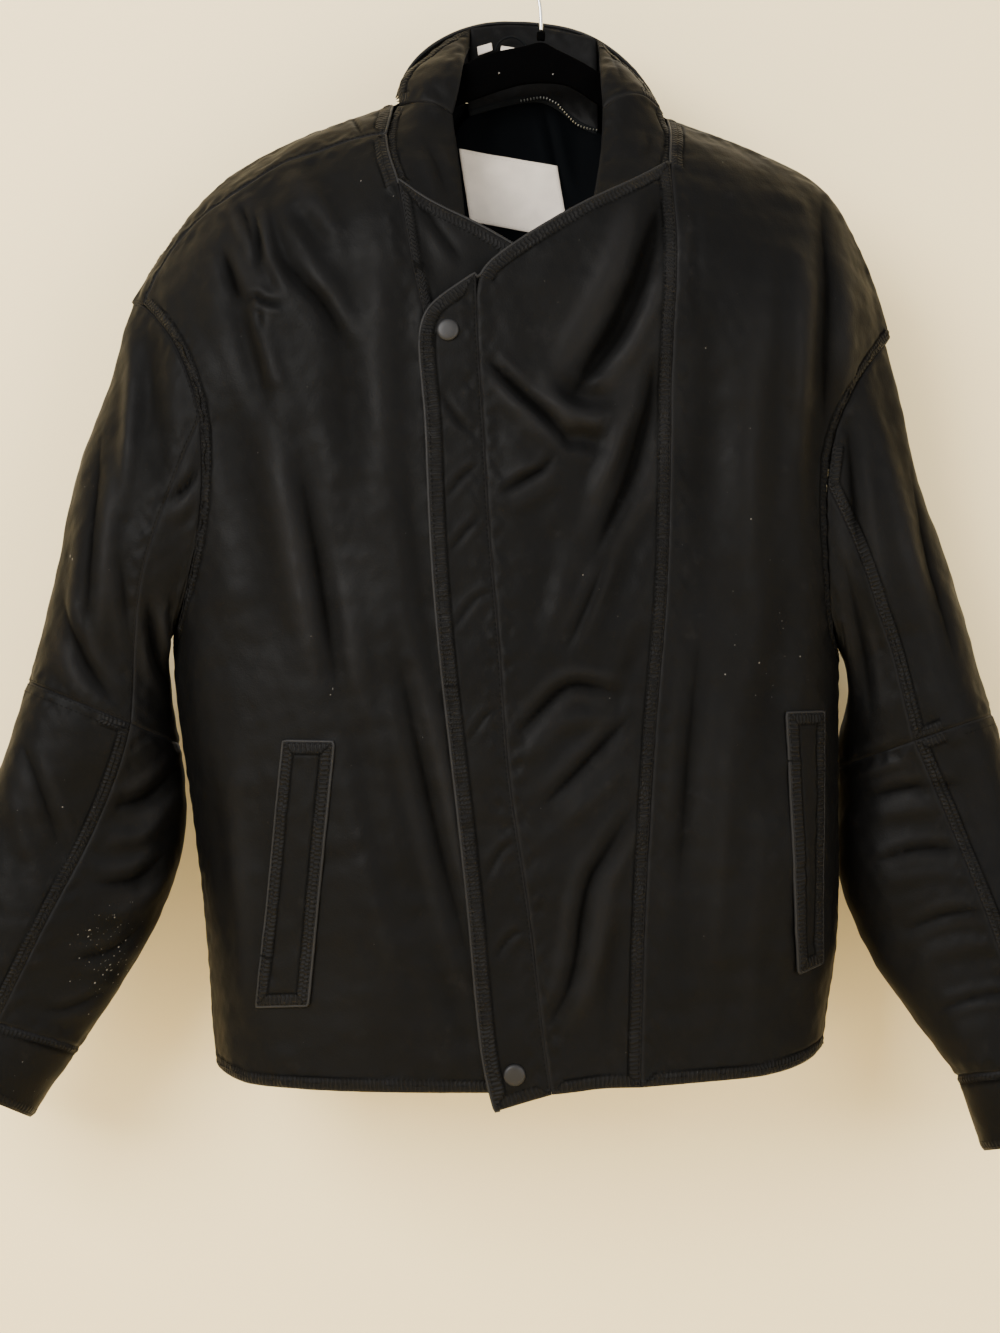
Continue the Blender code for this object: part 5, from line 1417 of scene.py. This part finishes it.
class JACKET_OT_bead(bpy.types.Operator):
    """Runs the narrow bead along the free edges"""
    bl_idname = "jacket.bead"
    bl_label = "Edge bead"

    def execute(self, context):
        need({row[0] for row in BEADED})
        runs = []
        for name, line, reach in BEADED:
            runs += border_runs(name, line, reach)
        grow("edge_bead", joined(runs, BEAD_GAP), bead_tree(),
             {"Pitch": BEAD_PITCH, "Radius": context.scene.jacket_trim.bead,
              "Material": MATERIALS["piping"]})
        return {"FINISHED"}


class JACKET_OT_zip(bpy.types.Operator):
    """Sets the zip's teeth along the tape inside the neck"""
    bl_idname = "jacket.zip"
    bl_label = "Zip teeth"

    def execute(self, context):
        need(["liner_zip_tape"])
        run = []
        for u, v in smooth_curve(TEETH, LINE_SAMPLES):
            where, normal = sight("liner_zip_tape", u, v)
            if where is not None:
                run.append(np.array(where + normal * TOOTH_LIFT))
        grow("zip_teeth", [run], stitch_tree(), {**TOOTH, "Material": MATERIALS["teeth"]})
        return {"FINISHED"}


class JACKET_OT_hanger(bpy.types.Operator):
    """Makes the flocked hanger, its ferrule, hook and the hang loop"""
    bl_idname = "jacket.hanger"
    bl_label = "Hanger"

    def execute(self, context):
        for name, finish, levels in HANGER:
            shape = solid_shape(name)
            make_quads(shape, HANGER_ANGLE)
            mesh = shape_mesh(name, shape)
            fine = subdivided(mesh, levels)
            bpy.data.meshes.remove(mesh)
            fine.shade_smooth()
            MADE[name] = Skin(fine)
            fine.materials.clear()
            fine.materials.append(MATERIALS[finish])
            item = place_object(name + "_look", fine)
            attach(item, "root")
            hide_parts(name)
        return {"FINISHED"}


class JACKET_OT_specks(bpy.types.Operator):
    """Scatters the dust specks and small scuffs"""
    bl_idname = "jacket.specks"
    bl_label = "Dust specks"

    def execute(self, context):
        need({row[0] for row in SPECKS})
        random = np.random.default_rng(SPECK_SEED)
        shape = bmesh.new()
        for name, middle, spread, count, small, large in SPECKS:
            for _ in range(count):
                u, v = np.array(middle) + np.clip(random.normal(size=2), -2.0, 2.0) * spread
                size = small + (large - small) * random.random() ** 3
                stretch, turn = random.uniform(0.5, 1.0), random.uniform(0.0, math.pi)
                where, normal = sight(name, u, v)
                if where is not None:
                    outline = ring(where + normal * SPECK_LIFT, normal, SPECK_SIDES, size, turn,
                                   stretch)
                    shape.faces.new([shape.verts.new(spot) for spot in outline])
        mesh = shape_mesh("dust_specks", shape)
        mesh.materials.append(MATERIALS["dust"])
        item = place_object("dust_specks", mesh)
        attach(item, "root")
        return {"FINISHED"}


def see_through_from_behind(tree, shader):
    """Lets the wall be seen through from behind, and lets light through."""
    geometry = add_node(tree, "ShaderNodeNewGeometry")
    ray = add_node(tree, "ShaderNodeLightPath")
    clear = add_node(tree, "ShaderNodeBsdfTransparent")
    either = math_node(tree, "MAXIMUM", geometry.outputs["Backfacing"],
                       ray.outputs["Is Shadow Ray"])
    mix = add_node(tree, "ShaderNodeMixShader", {
        "Fac": either, 1: shader.outputs["BSDF"], 2: clear.outputs["BSDF"]})
    tree.links.new(mix.outputs["Shader"], tree.nodes["Material Output"].inputs["Surface"])


def add_area(name, place, target, size, power, colour):
    """A soft studio light."""
    light = bpy.data.lights.new(name, "AREA")
    light.shape = "RECTANGLE"
    light.size, light.size_y = size
    light.energy = power
    light.color = colour
    item = place_object(name, light)
    item.location = place
    item.rotation_mode = "QUATERNION"
    item.rotation_quaternion = (Vector(target) - Vector(place)).to_track_quat("-Z", "Y")


class JACKET_OT_stage(bpy.types.Operator):
    """Makes the backdrop, floor, lights and camera"""
    bl_idname = "jacket.stage"
    bl_label = "Stage"

    def execute(self, context):
        stage = context.scene.jacket_stage
        far_left = (-STAGE_SIDE, WALL_DEPTH, FLOOR_HEIGHT)
        far_right = (STAGE_SIDE, WALL_DEPTH, FLOOR_HEIGHT)
        for name, corners in (
                ("backdrop", (far_left, far_right, (STAGE_SIDE, WALL_DEPTH, STAGE_TOP),
                              (-STAGE_SIDE, WALL_DEPTH, STAGE_TOP))),
                ("floor", ((-STAGE_SIDE, STAGE_FRONT, FLOOR_HEIGHT),
                           (STAGE_SIDE, STAGE_FRONT, FLOOR_HEIGHT), far_right, far_left))):
            mesh = bpy.data.meshes.new(name)
            mesh.from_pydata(corners, [], [(0, 1, 2, 3)])
            material, tree, shader, _ = shader_material(name)
            shader.inputs["Base Color"].default_value = (*stage.backdrop, 1.0)
            shader.inputs["Roughness"].default_value = STAGE_ROUGHNESS
            if name == "backdrop":
                see_through_from_behind(tree, shader)
            mesh.materials.append(material)
            place_object(name, mesh)
        world = bpy.data.worlds.new("studio")
        world.use_nodes = True
        sky = world.node_tree.nodes["Background"]
        sky.inputs["Color"].default_value = WORLD_COLOUR
        sky.inputs["Strength"].default_value = WORLD_STRENGTH
        context.scene.world = world
        for name, place, target, size, share, colour in LIGHTS:
            add_area(name, place, target, size, stage.power * share, colour)
        lens = bpy.data.cameras.new("view")
        lens.sensor_fit = "AUTO"
        lens.sensor_width = SENSOR
        lens.lens = LENS
        lens.dof.use_dof = False
        camera = place_object("view", lens)
        camera.location = (EYE_X, -EYE_DISTANCE, EYE_Z)
        camera.rotation_euler = (math.radians(90.0), 0.0, 0.0)
        context.scene.camera = camera
        return {"FINISHED"}


OPERATORS = (JACKET_OT_materials, JACKET_OT_body, JACKET_OT_sleeves, JACKET_OT_collar,
             JACKET_OT_inside, JACKET_OT_pockets, JACKET_OT_snaps, JACKET_OT_stitching,
             JACKET_OT_bead, JACKET_OT_zip, JACKET_OT_hanger, JACKET_OT_specks,
             JACKET_OT_stage)
GROUPS = {"jacket_look": JACKET_PG_look, "jacket_trim": JACKET_PG_trim,
          "jacket_stage": JACKET_PG_stage}


class JACKET_PT_panel(bpy.types.Panel):
    """The jacket's sizes, colours and steps."""
    bl_idname = "JACKET_PT_panel"
    bl_label = "Jacket"
    bl_space_type = "VIEW_3D"
    bl_region_type = "UI"
    bl_category = "Jacket"

    def draw(self, context):
        for label in GROUPS:
            group = getattr(context.scene, label)
            box = self.layout.box()
            for name in group.__annotations__:
                box.prop(group, name)
        for operator in OPERATORS:
            self.layout.operator(operator.bl_idname)


def register():
    for item in (*GROUPS.values(), *OPERATORS, JACKET_PT_panel):
        bpy.utils.register_class(item)
    for label, group in GROUPS.items():
        setattr(bpy.types.Scene, label, bpy.props.PointerProperty(type=group))


def unregister():
    for label in GROUPS:
        delattr(bpy.types.Scene, label)
    for item in reversed((*GROUPS.values(), *OPERATORS, JACKET_PT_panel)):
        bpy.utils.unregister_class(item)


def main():
    """Makes every piece and the stage."""
    register()
    bpy.ops.jacket.materials()
    bpy.ops.jacket.body()
    bpy.ops.jacket.sleeves()
    bpy.ops.jacket.collar()
    bpy.ops.jacket.inside()
    bpy.ops.jacket.pockets()
    bpy.ops.jacket.snaps()
    bpy.ops.jacket.stitching()
    bpy.ops.jacket.bead()
    bpy.ops.jacket.zip()
    bpy.ops.jacket.hanger()
    bpy.ops.jacket.specks()
    bpy.ops.jacket.stage()
    bpy.context.view_layer.update()


if __name__ == "__main__":
    main()
